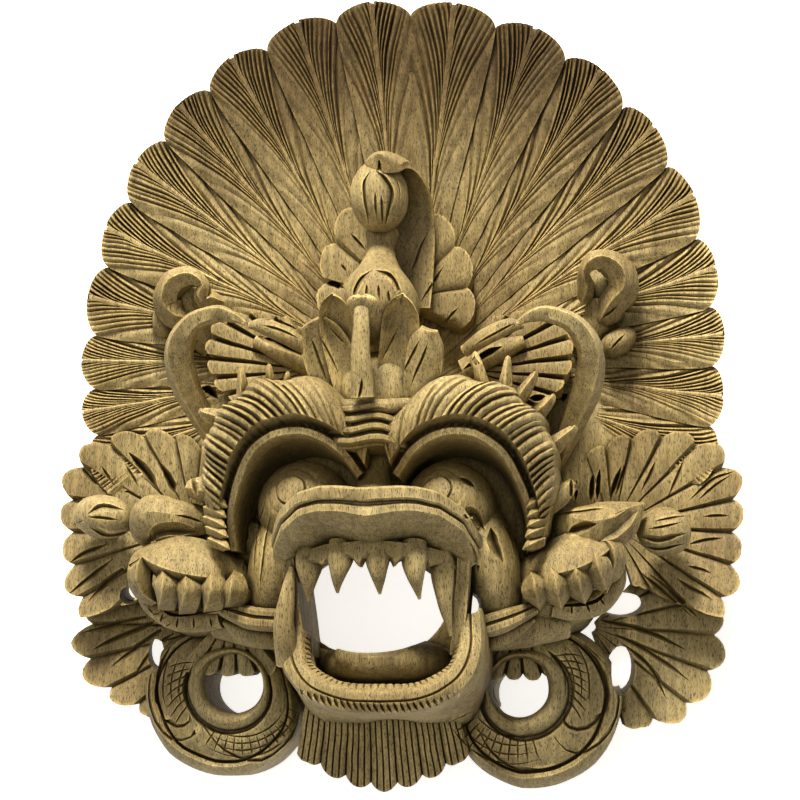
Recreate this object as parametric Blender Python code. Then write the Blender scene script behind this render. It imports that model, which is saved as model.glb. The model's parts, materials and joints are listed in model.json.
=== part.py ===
"""Carved wooden barong mask with a fan of feathers, lying on its back.

The frame: +X to the right as a viewer faces the mask, +Y up the mask, +Z out of its face.
The origin is under the middle of its outline, on the plane it lies on.
Carving is laid out in units of a 400th of the mask's height, so a unit is 1 mm at full size.
It is laid out as the mask looks from a little below and to one side, and true_places() opens it out.
Thicknesses are sizes of their own, in metres.
"""

import math

import bmesh
import bpy
import numpy as np

# Driving sizes, in metres
MASK_HEIGHT = 0.400
FAN_THICKNESS = 0.010
LEAF_THICKNESS = 0.013
SCROLL_THICKNESS = 0.034
BEARD_THICKNESS = 0.022
PETAL_THICKNESS = 0.010
BACK_RECESS_DEPTH = 0.058

# The carving is laid out in units
UNIT = MASK_HEIGHT / 400
WOOD_COLOUR = (0.42, 0.31, 0.15, 1.0)

# Facets that meet at less than FLAT_ANGLE, in degrees, become one. Edges over SHARP_ANGLE are shaded sharp
FLAT_ANGLE = 5.0
SHARP_ANGLE = 32.0

# A hand carving drifts off its own axis: the middle of each pair or part, in units from X = 0
BROW_X = -7
EYE_X = -10
LIP_X = -7
JAW_X = -5
JOWL_X = -14
EAR_X = -5
HORN_X = -5
LEFT_LEAF_X = -3
RIGHT_LEAF_X = 1
CREST_X = -8
BEARD_X = -11
FACE_X = -7

# The fan of feathers, in units and degrees
FAN_CENTRE = (-1.0, 4.0)
FAN_LEAN = 6.0
FAN_ROOT_RADIUS = 12.0
FAN_SIDE_RADIUS = 153.0
FAN_TOP_EXTRA = 26.0
LEFT_NOTCHES = (109, 97.5, 89, 79.5, 67.5, 56, 44.5, 34, 23, 11.5)
RIGHT_NOTCHES = (13.5, 25.5, 37.5, 49.5, 62.5, 74.5, 85, 96, 107)
FEATHER_LOBE = 8.0
FEATHER_CROWN = 2.2
FEATHER_STEP = 1.4
FAN_ROOT_Z = 42.0
FAN_TOP_Z = 79.0
FAN_SIDE_Z = 56.0
FEATHER_DROOP = 0.22

# Where the layout is seen from: steps to the right and down for each unit of height, and the height above MIDDLE_Z
VIEW_SLOPE = (0.114, -0.2126)
VIEW_HEIGHT = 850.0
MIDDLE_X = -2.0
MIDDLE_Z = 60.0


def thickness(metres):
    """A thickness in metres, in units."""
    return metres / UNIT


def true_places(points):
    """Where points of the layout lie on the mask, which is seen along a slanted line rather than straight down."""
    slant = np.array([*VIEW_SLOPE, 1.0])
    length = np.linalg.norm(slant)
    axis = slant / length
    across = np.cross((0, 1, 0), axis)
    across /= np.linalg.norm(across)
    upward = np.cross(axis, across)
    middle = np.array([MIDDLE_X, 0, MIDDLE_Z])
    eye = middle + VIEW_HEIGHT * slant
    fall = (points[:, 2:] - eye[2]) / -VIEW_HEIGHT
    seen = eye[:2] + (points[:, :2] - eye[:2]) / fall - middle[:2]
    rays = seen[:, :1] * across + seen[:, 1:] * upward - VIEW_HEIGHT * length * axis
    return eye + rays * (points[:, 2:] - eye[2]) / rays[:, 2:]


# Meshes of points and faces


def closed_sheet(front, back):
    """A closed solid between two grids of points (rows, columns, 3) of one size."""
    rows, columns = front.shape[:2]
    count = rows * columns
    index = np.arange(count).reshape(rows, columns)
    quads = np.stack([index[:-1, :-1], index[1:, :-1], index[1:, 1:], index[:-1, 1:]], axis=-1).reshape(-1, 4)
    rim = np.concatenate([index[0, :-1], index[:-1, -1], index[-1, :0:-1], index[:0:-1, 0]])
    after = np.roll(rim, -1)
    sides = np.stack([rim, after, after + count, rim + count], axis=-1)
    points = np.concatenate([front.reshape(-1, 3), back.reshape(-1, 3)])
    return points, [*quads.tolist(), *(quads[:, ::-1] + count).tolist(), *sides.tolist()]


def closed_rings(rings):
    """A closed solid through rings of points (rings, points, 3), with flat ends."""
    count, around = rings.shape[:2]
    index = np.arange(count * around).reshape(count, around)
    after = np.roll(index, -1, axis=1)
    quads = np.stack([index[:-1], after[:-1], after[1:], index[1:]], axis=-1).reshape(-1, 4)
    ends = [index[0].tolist(), index[-1, ::-1].tolist()]
    return rings.reshape(-1, 3), quads.tolist() + ends


def smooth_path(points, count):
    """A Catmull-Rom curve through points, as count points. Columns past the third are widths that ride along."""
    points = np.array(points, float)
    padded = np.concatenate([2 * points[:1] - points[1:2], points, 2 * points[-1:] - points[-2:-1]])
    place = np.linspace(0, len(points) - 1, count)
    start = np.minimum(place.astype(int), len(points) - 2)
    t = (place - start)[:, None]
    a, b, c, d = (padded[start + k] for k in range(4))
    return 0.5 * (2 * b + (c - a) * t + (2 * a - 5 * b + 4 * c - d) * t**2 + (3 * b - a - 3 * c + d) * t**3)


def sweep(path, profile, up=(0, 0, 1)):
    """Rings along a path. profile(share) gives points (side, up) of the section at that share of the path."""
    path = np.asarray(path, float)
    tangents = np.gradient(path, axis=0)
    tangents /= np.linalg.norm(tangents, axis=1)[:, None]
    rings = []
    for k, (point, tangent) in enumerate(zip(path, tangents)):
        side = np.cross(tangent, up)
        side /= np.linalg.norm(side)
        lift = np.cross(side, tangent)
        section = np.asarray(profile(k / (len(path) - 1)))
        rings.append(point + section[:, :1] * side + section[:, 1:] * lift)
    return closed_rings(np.array(rings))


def bar(path, steps=5, around=6, flat=1.0):
    """A round bar along points (x, y, z, radius). flat below 1 thins it along the up axis."""
    line = smooth_path(path, steps)
    angles = np.linspace(0, 2 * math.pi, around, endpoint=False)

    def section(share):
        radius = np.interp(share, np.linspace(0, 1, steps), line[:, 3])
        return np.stack([radius * np.cos(angles), flat * radius * np.sin(angles)], axis=1)

    return sweep(line[:, :3], section)


def ovoid(centre, radii, tilt=0.0, petals=0, depth=0.0, around=8, rows=4):
    """An egg with its long axis along Y, turned by tilt degrees in the XY plane. Petals are lengthwise ribs."""
    polar = np.linspace(0, math.pi, rows + 2)[1:-1]
    angles = np.linspace(0, 2 * math.pi, around, endpoint=False)
    ribs = 1 - depth * np.abs(np.sin(petals * angles / 2)) if petals else np.ones(around)
    x = radii[0] * np.sin(polar)[:, None] * (np.cos(angles) * ribs)
    y = radii[1] * np.cos(polar)[:, None] * np.ones(around)
    z = radii[2] * np.sin(polar)[:, None] * (np.sin(angles) * ribs)
    turn = math.radians(tilt)
    turned = np.stack([x * math.cos(turn) - y * math.sin(turn), x * math.sin(turn) + y * math.cos(turn), z], axis=-1)
    return closed_rings(turned + np.array(centre))


def palmette(centre, root, lobes, base, thick, crown=1.5, notch=0.16, across=4, along=1, taper=0.96):
    """A leaf of round lobes fanned about a centre. Lobes are (angle in degrees, radius); base(x, y) is its height."""
    angles = np.array([lobe[0] for lobe in lobes], float)
    radii = np.array([lobe[1] for lobe in lobes], float)
    middles = (angles[1:] + angles[:-1]) / 2
    edges = np.concatenate([[2 * angles[0] - middles[0]], middles, [2 * angles[-1] - middles[-1]]])
    columns = []
    for k in range(len(lobes)):
        shares = np.linspace(-1, 1, across + 1)[k > 0 :]
        low, high = edges[k], edges[k + 1]
        for share in shares:
            angle = (low + high) / 2 + share * (high - low) / 2
            neighbour = min(max(k + (1 if share > 0 else -1), 0), len(lobes) - 1)
            reach = radii[k] + (radii[neighbour] - radii[k]) / 2 * abs(share)
            columns.append((math.radians(angle), reach * (1 - notch * abs(share) ** 2.4), 1 - share**2))
    shares = np.linspace(0, 1, along + 1)
    front = np.zeros((len(columns), along + 1, 3))
    back = np.zeros_like(front)
    for row, (angle, reach, middle) in enumerate(columns):
        radius = root + (reach - root) * shares
        x = centre[0] + radius * math.cos(angle)
        y = centre[1] + radius * math.sin(angle)
        front[row] = np.stack([x, y, base(x, y) + crown * (middle - 0.5) * shares], axis=1)
        behind = root + (reach * taper - root) * shares
        x = centre[0] + behind * math.cos(angle)
        y = centre[1] + behind * math.sin(angle)
        back[row] = np.stack([x, y, base(x, y) - thick], axis=1)
    return closed_sheet(front, back)


def blade(path, thick, cup=0.0, ripple=0.0, ripples=0, steps=5, across=2):
    """A flat leaf along points (x, y, z, half width). cup sinks its middle, ripples notch its edges."""
    line = smooth_path(path, steps)
    tangents = np.gradient(line[:, :3], axis=0)
    tangents /= np.linalg.norm(tangents, axis=1)[:, None]
    side = np.cross(tangents, (0, 0, 1))
    side /= np.linalg.norm(side, axis=1)[:, None]
    share = np.linspace(0, 1, steps)
    width = line[:, 3] * (1 - ripple * np.abs(np.sin(math.pi * ripples * share)))
    spread = np.linspace(-1, 1, across + 1)
    front = line[:, None, :3] + side[:, None] * (width[:, None] * spread)[..., None]
    front[..., 2] -= cup * (1 - spread**2)
    back = line[:, None, :3] + side[:, None] * (0.85 * width[:, None] * spread)[..., None]
    back[..., 2] -= thick + cup * (1 - spread**2)
    return closed_sheet(front, back)


def mirrored(shape):
    """The same shape on the other side of the plane X = 0."""
    points, faces = shape
    return points * np.array([-1, 1, 1]), [face[::-1] for face in faces]


def moved(shape, x=0.0, y=0.0, z=0.0):
    points, faces = shape
    return points + np.array([x, y, z]), faces


def pair(shape, x=FACE_X):
    """A shape and its mirror image, about the line at x."""
    return [moved(shape, x), moved(mirrored(shape), x)]


# The fan


def fan_reach(angle):
    """Radius of the notches between feathers at an angle from the top, in radians."""
    return FAN_SIDE_RADIUS + FAN_TOP_EXTRA * max(math.cos(angle), 0) ** 1.6


def fan_height(angle, share):
    """Height of the dished fan at a share of its radius: its top leans forward most."""
    rim = FAN_SIDE_Z + (FAN_TOP_Z - FAN_SIDE_Z) * max(math.cos(angle), 0)
    return FAN_ROOT_Z + (rim - FAN_ROOT_Z) * share**2


def fan_point(angle, share, reach, height):
    """A point of the fan. Feathers droop: near the root they stand more upright than at the rim."""
    bent = angle * (1 - FEATHER_DROOP * (1 - share) ** 1.5)
    radius = FAN_ROOT_RADIUS + (reach - FAN_ROOT_RADIUS) * share
    lean = FAN_LEAN * share * max(math.cos(angle), 0)
    return FAN_CENTRE[0] + lean + radius * math.sin(bent), FAN_CENTRE[1] + radius * math.cos(bent), height


def fan(across=4, fronts=(0, 0.3, 0.7, 1), backs=(1, 0.6, 0)):
    """All the feathers as one sheet, each with a raised middle and a step down to the next."""
    columns = []
    notches = np.radians([*[-angle for angle in LEFT_NOTCHES], 0, *RIGHT_NOTCHES])
    for low, high in zip(notches, notches[1:]):
        spread = np.linspace(-1, 1, across + 1)[low > notches[0] :]
        columns += [((low + high) / 2 + b * (high - low) / 2, b) for b in spread]
    rings = []
    for angle, b in columns:
        reach = fan_reach(angle) + FEATHER_LOBE * math.sqrt(max(1 - b * b, 0))
        crown = FEATHER_CROWN * (1 - b * b) + FEATHER_STEP * math.copysign(b, angle * b)
        front = [fan_point(angle, share, reach, fan_height(angle, share) + crown * share) for share in fronts]
        behind = [fan_height(angle, share) - thickness(FAN_THICKNESS) for share in backs]
        back = [fan_point(angle, share, reach * 0.985, height) for share, height in zip(backs, behind)]
        rings.append(front + back)
    return [closed_rings(np.array(rings))]


# Leaves at the sides

SIDE_LEAF_CENTRE = (104.0, -62.0)
SIDE_LEAF_RADII = (40, 45, 51, 61, 73, 66, 64, 67, 73, 66)
SIDE_LEAF_ANGLES = (104, -50)
LOW_LEAF_CENTRE = (92.0, -111.0)
LOW_LEAF_RADII = (62, 72, 76, 72, 69, 66)
LOW_LEAF_ANGLES = (16, -62)


def as_drawn(shape):
    return shape


LEAF_SIDES = ((mirrored, LEFT_LEAF_X), (as_drawn, RIGHT_LEAF_X))


def side_leaves():
    side_angles = np.linspace(*SIDE_LEAF_ANGLES, len(SIDE_LEAF_RADII))
    side = palmette(
        SIDE_LEAF_CENTRE,
        8,
        list(zip(side_angles, SIDE_LEAF_RADII)),
        lambda x, y: 49 + 0.16 * np.hypot(x - 100, y + 62),
        thickness(LEAF_THICKNESS),
        crown=3.0,
    )
    low_angles = np.linspace(*LOW_LEAF_ANGLES, len(LOW_LEAF_RADII))
    low = palmette(
        LOW_LEAF_CENTRE,
        3,
        list(zip(low_angles, LOW_LEAF_RADII)),
        lambda x, y: 36 + 0.10 * np.hypot(x - 92, y + 111),
        thickness(LEAF_THICKNESS),
        crown=3.0,
    )
    under = ovoid((86, -30, 28), (38, 60, 24), rows=4)
    return [moved(turned(leaf), x) for leaf in (side, low, under) for turned, x in LEAF_SIDES]


# The scrolls under the cheeks, each around a round opening

LEFT_RING = (-85.0, -142.0)
RIGHT_RING = (58.0, -144.0)
RIGHT_SCROLL_SCALE = 1.09
RING_HOLE = 14.5
SCROLL_TOP_Z = 60.0


def scroll_reach(angle):
    """How far a scroll's edge lies from its ring's centre, by angle from the side away from the chin, in degrees."""
    return np.interp(angle % 360, (0, 45, 90, 135, 180, 225, 270, 315, 360), (47, 38, 28, 25, 27, 38, 46, 49, 47))


def scroll(scale, around=18):
    """A plate around a hole, its front raised in two bands."""
    angles = np.linspace(0, 360, around, endpoint=False)
    levels = ((0.0, 0.0), (0.1, 3.0), (0.24, -1.0), (0.8, -0.5), (0.88, 2.5), (1.0, 0.0))
    backs = (1.0, 0.0)
    rings = np.zeros((around, len(levels) + len(backs), 3))
    for row, degrees in enumerate(angles):
        spread = scale * scroll_reach(degrees) - RING_HOLE
        turn = math.radians(degrees)
        for column, (share, lift) in enumerate([*levels, *[(share, 0) for share in backs]]):
            radius = RING_HOLE + spread * share
            behind = thickness(SCROLL_THICKNESS) if column >= len(levels) else 0
            height = SCROLL_TOP_Z + lift - 10 * share**2 - behind
            rings[row, column] = radius * math.cos(turn), radius * math.sin(turn), height
    index = np.arange(rings.shape[0] * rings.shape[1]).reshape(rings.shape[:2])
    ahead = np.roll(index, -1, axis=0)
    quads = np.stack([index, np.roll(index, -1, axis=1), np.roll(ahead, -1, axis=1), ahead], axis=-1)
    return rings.reshape(-1, 3), quads.reshape(-1, 4).tolist()


def hanging_leaf():
    """The scalloped leaf that hangs into a scroll's opening."""
    lobes = [(-20, 15), (-62, 17), (-104, 18), (-146, 17)]
    return palmette((2, 13), 3, lobes, lambda x, y: 58 + 0.2 * y, 16, crown=1.5, across=2)


def hanging_leaves():
    return [moved(mirrored(hanging_leaf()), *place) for place in (LEFT_RING, RIGHT_RING)]


def scrolls():
    return [moved(mirrored(scroll(1.0)), *LEFT_RING), moved(scroll(RIGHT_SCROLL_SCALE), *RIGHT_RING)]


# The face


def face_core(around=22):
    """The rounded block that carries the face, flat on its back."""
    angles = np.linspace(0, 2 * math.pi, around, endpoint=False)
    rings = []
    for share, height in ((1.0, 0), (1.03, 20), (0.96, 44), (0.8, 62), (0.55, 72), (0.25, 76)):
        x = 84 * share * np.cos(angles)
        y = -74 + 96 * share * np.sin(angles)
        rings.append(np.stack([x, y, np.full(around, height)], axis=1))
    return moved(closed_rings(np.array(rings)), FACE_X)


BROW_PATH = ((9, -46), (18, -35), (32, -28), (47, -29), (59, -37), (67, -52), (71, -68), (71, -86))
BROW_WIDTH = (9, 18, 25, 27, 24, 18, 10, 4)
BROW_TOP = (108, 116, 120, 119, 114, 106, 98, 90)
RIM_WALL = 4.5


def brows(steps=15):
    """The arched rim over each eye and the tuft of hair that grows from it."""
    line = smooth_path([(x, y, 0) for x, y in BROW_PATH], steps)

    def section(share):
        place = share * (len(BROW_PATH) - 1)
        width = np.interp(place, range(len(BROW_PATH)), BROW_WIDTH)
        top = np.interp(place, range(len(BROW_PATH)), BROW_TOP)
        return [
            (RIM_WALL, 50),
            (1, top - 1),
            (-RIM_WALL + 1, top - 1),
            (-RIM_WALL, top - 6),
            (-6 - width * 0.4, top + 5),
            (-6 - width * 0.85, top - 5),
            (-6 - width, 50),
        ]

    return pair(sweep(line, section), BROW_X)


def eyes():
    balls = pair(ovoid((35, -58, 82), (23, 23, 26), around=12, rows=5), EYE_X)
    cheeks = pair(ovoid((51, -84, 74), (16, 34, 26), tilt=12), BROW_X)
    return [*balls, *cheeks]


LIP_HALF = 50.0
LIP_BACK_Z = 104.0
LIP_FRONT_Z = 150.0


def visor(half, back_z, front_z, section, reach=82, steps=13):
    """A section (forward, up) swept round the front of the muzzle, a half ellipse in plan."""
    rings = []
    for angle in np.radians(np.linspace(-reach, reach, steps)):
        points = np.array(section(abs(math.sin(angle))))
        out = np.array([half * math.sin(angle), 0, back_z + (front_z - back_z) * math.cos(angle)])
        facing = np.array([math.sin(angle), 0, math.cos(angle)])
        rings.append(out + points[:, :1] * facing + points[:, 1:] * np.array([0, 1, 0]))
    return closed_rings(np.array(rings))


def upper_lip():
    def section(share):
        top = np.interp(share, (0, 0.35, 0.65, 0.85, 1), (-61, -59, -60, -66, -77))
        fall = np.interp(share, (0, 0.8, 1), (22, 18, 13))
        return [
            (-34, top + 1),
            (-5, top + 2),
            (0, top + 1),
            (0, top - 4),
            (-2.5, top - 5.5),
            (-1, top - 8),
            (-8, top - 15),
            (-16, top - fall),
            (-34, top - fall),
        ]

    return [moved(visor(LIP_HALF, LIP_BACK_Z, LIP_FRONT_Z, section), LIP_X)]


def gum():
    def section(share):
        top = -80 - 5 * share**2
        return [(-32, top), (1, top), (2, top - 8), (-3, top - 12), (-32, top - 10)]

    return [moved(visor(40, 96, 134, section, steps=11), LIP_X)]


def tooth(x, top, length, half_width, z, lean=0.0):
    """A pointed tooth that hangs from the gum and curves back a little."""
    path = [
        (x, top, z - 2, half_width),
        (x + lean * 0.3, top - length * 0.5, z, half_width * 0.8),
        (x + lean, top - length, z - 4, 0.9),
    ]
    return bar(path, steps=4, around=5, flat=0.8)


def teeth():
    shapes = [
        tooth(-30, -84, 22, 6.5, 120, -1),
        tooth(-14, -84, 19, 6, 131, -2),
        tooth(3, -84, 20, 6, 133, 1),
        tooth(19, -84, 22, 6, 130, 3),
        tooth(31, -86, 36, 5.5, 119, 4),
        bar([(-39, -90, 116, 1.5), (-41, -102, 117, 3.5), (-43, -118, 115, 5), (-42, -134, 108, 6)]),
    ]
    return [moved(shape, LIP_X) for shape in shapes]


def mouth_corners():
    """The web of wood between the lip's end and the jaw on each side."""
    edge = [(45, -76, 118), (43, -100, 113), (40, -130, 108)]
    front = np.array([[(x, y, z), (x - 1, y, z - 44)] for x, y, z in edge], float)
    return pair(closed_sheet(front, front - np.array([6.0, 0, 0])), LIP_X)


JAW_PATH = ((39, -108, 106), (40, -126, 112), (35, -140, 118), (20, -149, 123), (0, -151, 125))


def lower_jaw():
    whole = [*JAW_PATH, *[(-x, y, z) for x, y, z in reversed(JAW_PATH[:-1])]]
    line = smooth_path(whole, 15)

    def section(share):
        middle = math.sin(math.pi * share)
        low = -60 - 10 * middle
        return [(-9, low), (-8, -3), (-3, 1), (1, 1.5), (4, -1), (5.5 + middle, -4), (5.5 + middle, -11), (4, low)]

    jaw = sweep(line, section)
    floor = ovoid((0, -134, 70), (34, 15, 46), around=10)
    tongue = ovoid((0, -131, 106), (19, 9, 8))
    return [moved(jaw, JAW_X), moved(floor, JAW_X), moved(tongue, JAW_X - 4)]


def jowls():
    """The curled cheek on each side, with its row of blunt teeth and the bands to the mouth's corner."""
    body = bar([(64, -80, 72, 11), (82, -90, 84, 14), (98, -93, 88, 13), (112, -88, 84, 10), (117, -79, 76, 6)], 7, 8)
    shapes = pair(body, JOWL_X) + pair(ovoid((84, -100, 40), (24, 18, 42)), JOWL_X)
    for k in range(4):
        x = 80 + 11 * k
        block = bar([(x, -86, 87, 6.5), (x + 1, -98 - k, 93, 6), (x + 1, -105 - k, 87, 4)], 3, 5)
        shapes += pair(block, JOWL_X)
    shapes += pair(bar([(115, -98, 66, 6), (102, -116, 72, 7), (84, -121, 78, 7), (66, -115, 80, 6)]), JOWL_X)
    shapes += pair(bar([(40, -118, 96, 6), (54, -124, 92, 7), (68, -122, 90, 7), (82, -112, 84, 7)]), JAW_X)
    return shapes


def beard():
    """The fluted beard under the chin."""
    lobes = [(-90 + 12 * k, 88 - 1.2 * abs(k) ** 1.5) for k in range(-2, 3)]
    lean = palmette((0, -110), 34, lobes, lambda x, y: 64 + 0.35 * (y + 150), thickness(BEARD_THICKNESS), 4, 0.05)
    return [moved(lean, BEARD_X)]


def horns():
    path = [(82, -34, 60, 3), (90, -17, 76, 5.5), (97, 1, 90, 7), (98, 15, 101, 6.5)]
    path += [(90, 27, 108, 5), (78, 30, 111, 4), (65, 25, 111, 2)]
    return pair(bar(path, 10, 6, flat=0.8), HORN_X)


def horn_leaves():
    """The fluted leaf inside each horn, the petal over it and the curl behind."""
    lobes = [(-4 + 9 * k, 60 - 1.5 * k) for k in range(5)]
    leaf = palmette((34, 0), 8, lobes, lambda x, y: 62 + 0.16 * (x - 38), 26, crown=2.5, notch=0.07, across=2)
    petal = blade([(30, 4, 60, 7), (50, 22, 78, 7), (66, 31, 88, 5), (78, 35, 90, 1)], thickness(PETAL_THICKNESS) + 12)
    curl = bar([(92, 34, 52, 8), (104, 42, 60, 10), (106, 55, 72, 9), (97, 58, 74, 7), (91, 51, 66, 5)], 6, 6)
    return [*pair(leaf, HORN_X), *pair(petal, HORN_X), *pair(curl, HORN_X)]


def ears():
    path = [(72, -70, 74, 10), (88, -67, 86, 14), (105, -64, 90, 12), (125, -58, 86, 1.5)]
    ear = blade(path, thickness(PETAL_THICKNESS), cup=7, across=4)
    root = bar([(70, -72, 60, 12), (92, -68, 68, 10), (112, -62, 66, 7)], 3, 6)
    plug = ovoid((136, -58, 66), (13, 19, 15), tilt=-92, petals=4, depth=0.14)
    return [*pair(ear, EAR_X), *pair(root, EAR_X), *pair(plug, EAR_X - 3)]


# The crest over the brow


def crest():
    wings = [(-2, 38), (24, 43), (50, 47), (77, 52), (103, 52), (130, 46), (156, 43), (182, 38)]
    backing = palmette((6, 54), 10, wings, lambda x, y: 64 + 0.14 * (y - 54), 22, crown=3, notch=0.14)
    cap = blade([(9, 62, 66, 9), (14, 92, 78, 10), (9, 112, 94, 9), (-2, 107, 108, 4)], thickness(PETAL_THICKNESS))
    bud = ovoid((0, 90, 94), (15, 17, 16), petals=5, depth=0.1, around=10, rows=5)
    bulb = bar([(0, 76, 84, 8), (0, 66, 88, 6), (0, 54, 92, 11), (0, 42, 96, 19), (0, 24, 98, 18)], 7, 9)
    heart = ovoid((0, 38, 108), (13, 16, 12), petals=4, depth=0.16)
    outer = [(62, 74), (76, 68), (90, 62), (104, 68), (118, 74)]
    inner = [(77, 73), (90, 75), (103, 73)]
    calyx = palmette((0, -46), 26, outer, lambda x, y: 104 + 0.2 * (y + 16), 30, crown=2, notch=0.08)
    cup = palmette((0, -45), 26, inner, lambda x, y: 110 + 0.32 * (y + 16), 14, crown=1.5, notch=0.08)
    stem = bar([(0, 30, 122, 6), (-1, 18, 126, 5), (-1, 0, 125, 6), (-1, -16, 118, 8)])
    return [moved(shape, CREST_X) for shape in (backing, cap, bud, bulb, heart, calyx, cup, stem, collar())]


def collar(ridges=4, pitch=5.0):
    """The ribbed band over the nose, under the stem."""
    rings = []
    for x in (-19, -12, 0, 12, 19):
        top = 125 - 14 * (x / 19) ** 2
        points = [(x, -14, 60), (x, -14, top - 3)]
        for k in range(ridges):
            y = -15 - pitch * k
            points += [(x, y, top), (x, y - 0.6 * pitch, top), (x, y - 0.8 * pitch, top - 3)]
        rings.append([*points, (x, -16 - pitch * ridges, 60)])
    return closed_rings(np.array(rings, float))


def nose():
    bridge = bar([(0, -20, 84, 13), (0, -40, 92, 8), (0, -54, 102, 9), (0, -66, 110, 15)], 6, 8)
    return [moved(bridge, CREST_X - 2)]


# Openings cut right through, and the recess behind the face


def shaft(levels, around=12):
    """An upright oval shaft through levels (x, y, z, half width, half height)."""
    angles = np.linspace(0, 2 * math.pi, around, endpoint=False)
    rings = []
    for x, y, z, wide, tall in levels:
        rings.append(np.stack([x + wide * np.cos(angles), y + tall * np.sin(angles), np.full(around, z)], axis=1))
    return closed_rings(np.array(rings))


# Gaps right through between the leaves: x, y, half width and half height, on the plane z = 40
GAPS = ((110, -101, 11, 6.5), (109, -134, 7, 12), (-141, -94, 4, 4.5), (-129, -126, 4, 8))


def gap(x, y, wide, tall):
    """A shaft along the line of sight, so that it shows as open."""
    levels = (-10, 66)
    places = [(x + VIEW_SLOPE[0] * (z - 40), y + VIEW_SLOPE[1] * (z - 40), z) for z in levels]
    return shaft([(*place, wide, tall) for place in places], around=8)


def cutters():
    recess = moved(ovoid((0, 0, 0), (62, 66, thickness(BACK_RECESS_DEPTH)), around=14, rows=6), -14, -84)
    mouth = shaft([(-21, -97, -20, 40, 32), (-18, -101, 30, 37, 28), (-9, -108, 130, 36, 22)])
    right = bar([(38, -108, 140, 5), (34, -104, 80, 6), (24, -98, -10, 7)], 3)
    left = bar([(-54, -108, 140, 5), (-50, -104, 80, 6), (-44, -98, -10, 7)], 3)
    clear = RING_HOLE - 0.7
    rings = [shaft([(x, y, -10, clear, clear), (x, y, 90, clear, clear)]) for x, y in (LEFT_RING, RIGHT_RING)]
    return [recess, mouth, right, left, *rings, *[gap(*size) for size in GAPS]]


def middle_of(shapes):
    """The middle of the shapes' outline in X and Y, on the plane Z = 0."""
    points = true_places(np.concatenate([points for points, _ in shapes]))
    middle = (points.min(axis=0) + points.max(axis=0)) / 2
    return np.array([middle[0], middle[1], 0])


def stored(name, shape, middle):
    """The mesh object of one carved shape, in metres, from the middle of the outline."""
    points, faces = shape
    mesh = bpy.data.meshes.new(name)
    mesh.from_pydata(((true_places(points) - middle) * UNIT).tolist(), [], faces)
    tool = bmesh.new()
    tool.from_mesh(mesh)
    bmesh.ops.recalc_face_normals(tool, faces=tool.faces)
    tool.to_mesh(mesh)
    tool.free()
    mesh.shade_smooth()
    mesh.set_sharp_from_angle(angle=math.radians(SHARP_ANGLE))
    return bpy.data.objects.new(name, mesh)


def helpers(name, shapes, middle):
    """A collection of shapes that only serve the mask's Booleans."""
    collection = bpy.data.collections.new(name)
    bpy.context.scene.collection.children.link(collection)
    for number, shape in enumerate(shapes):
        helper = stored(f"{name}_{number:02d}", shape, middle)
        helper.hide_render = True
        helper.display_type = "WIRE"
        collection.objects.link(helper)
    return collection


def wood():
    material = bpy.data.materials.new("carved_wood")
    material.use_nodes = True
    shader = material.node_tree.nodes["Principled BSDF"]
    shader.inputs["Base Color"].default_value = WOOD_COLOUR
    shader.inputs["Roughness"].default_value = 0.62
    shader.inputs["Metallic"].default_value = 0.0
    return material


def main():
    for old in list(bpy.data.objects):
        bpy.data.objects.remove(old)
    carving = []
    for group in (fan, side_leaves, scrolls, brows, eyes, upper_lip, gum, lower_jaw, jowls, beard):
        carving += group()
    for group in (horns, horn_leaves, ears, crest, nose):
        carving += group()
    in_openings = [*teeth(), *mouth_corners(), *hanging_leaves()]
    middle = middle_of(carving)
    mask = stored("mask", face_core(), middle)
    bpy.context.scene.collection.objects.link(mask)
    mask.data.materials.append(wood())
    steps = (("carving", "UNION", carving), ("openings", "DIFFERENCE", cutters()), ("in_openings", "UNION", in_openings))
    for name, operation, shapes in steps:
        modifier = mask.modifiers.new(name, "BOOLEAN")
        modifier.operation = operation
        modifier.operand_type = "COLLECTION"
        modifier.collection = helpers(name, shapes, middle)
        modifier.solver = "MANIFOLD"
    thin = mask.modifiers.new("flat_facets", "DECIMATE")
    thin.decimate_type = "DISSOLVE"
    thin.angle_limit = math.radians(FLAT_ANGLE)


main()
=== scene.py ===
"""The looks of the carved barong mask: one finely carved piece in place of the CAD solid.

The carving is laid out as the CAD part's is, in units of a 400th of the mask's height, as seen from
a little below and to one side; true_places() opens it out to its true shape.
"""

import json
import math

import bmesh
import bpy
import numpy as np
from mathutils import Matrix, Vector, noise
from mathutils.bvhtree import BVHTree

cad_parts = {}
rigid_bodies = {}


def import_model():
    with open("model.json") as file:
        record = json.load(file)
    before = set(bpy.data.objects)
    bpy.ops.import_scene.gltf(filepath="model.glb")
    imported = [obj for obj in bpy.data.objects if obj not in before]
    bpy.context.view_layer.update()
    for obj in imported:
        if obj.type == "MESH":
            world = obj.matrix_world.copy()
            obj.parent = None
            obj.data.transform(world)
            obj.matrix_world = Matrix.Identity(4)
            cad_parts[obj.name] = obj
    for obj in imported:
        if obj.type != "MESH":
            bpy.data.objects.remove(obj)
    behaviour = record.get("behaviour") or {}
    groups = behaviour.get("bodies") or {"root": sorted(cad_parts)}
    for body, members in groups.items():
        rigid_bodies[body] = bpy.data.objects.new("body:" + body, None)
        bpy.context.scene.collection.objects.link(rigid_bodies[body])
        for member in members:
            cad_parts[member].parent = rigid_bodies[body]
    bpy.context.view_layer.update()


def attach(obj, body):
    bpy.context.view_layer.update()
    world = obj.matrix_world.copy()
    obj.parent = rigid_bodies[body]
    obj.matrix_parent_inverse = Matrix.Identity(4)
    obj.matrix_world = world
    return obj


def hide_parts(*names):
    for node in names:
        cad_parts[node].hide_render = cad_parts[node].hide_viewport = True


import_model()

# Driving sizes, in metres
MASK_HEIGHT = 0.400
FAN_THICKNESS = 0.010
LEAF_THICKNESS = 0.013
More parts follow.
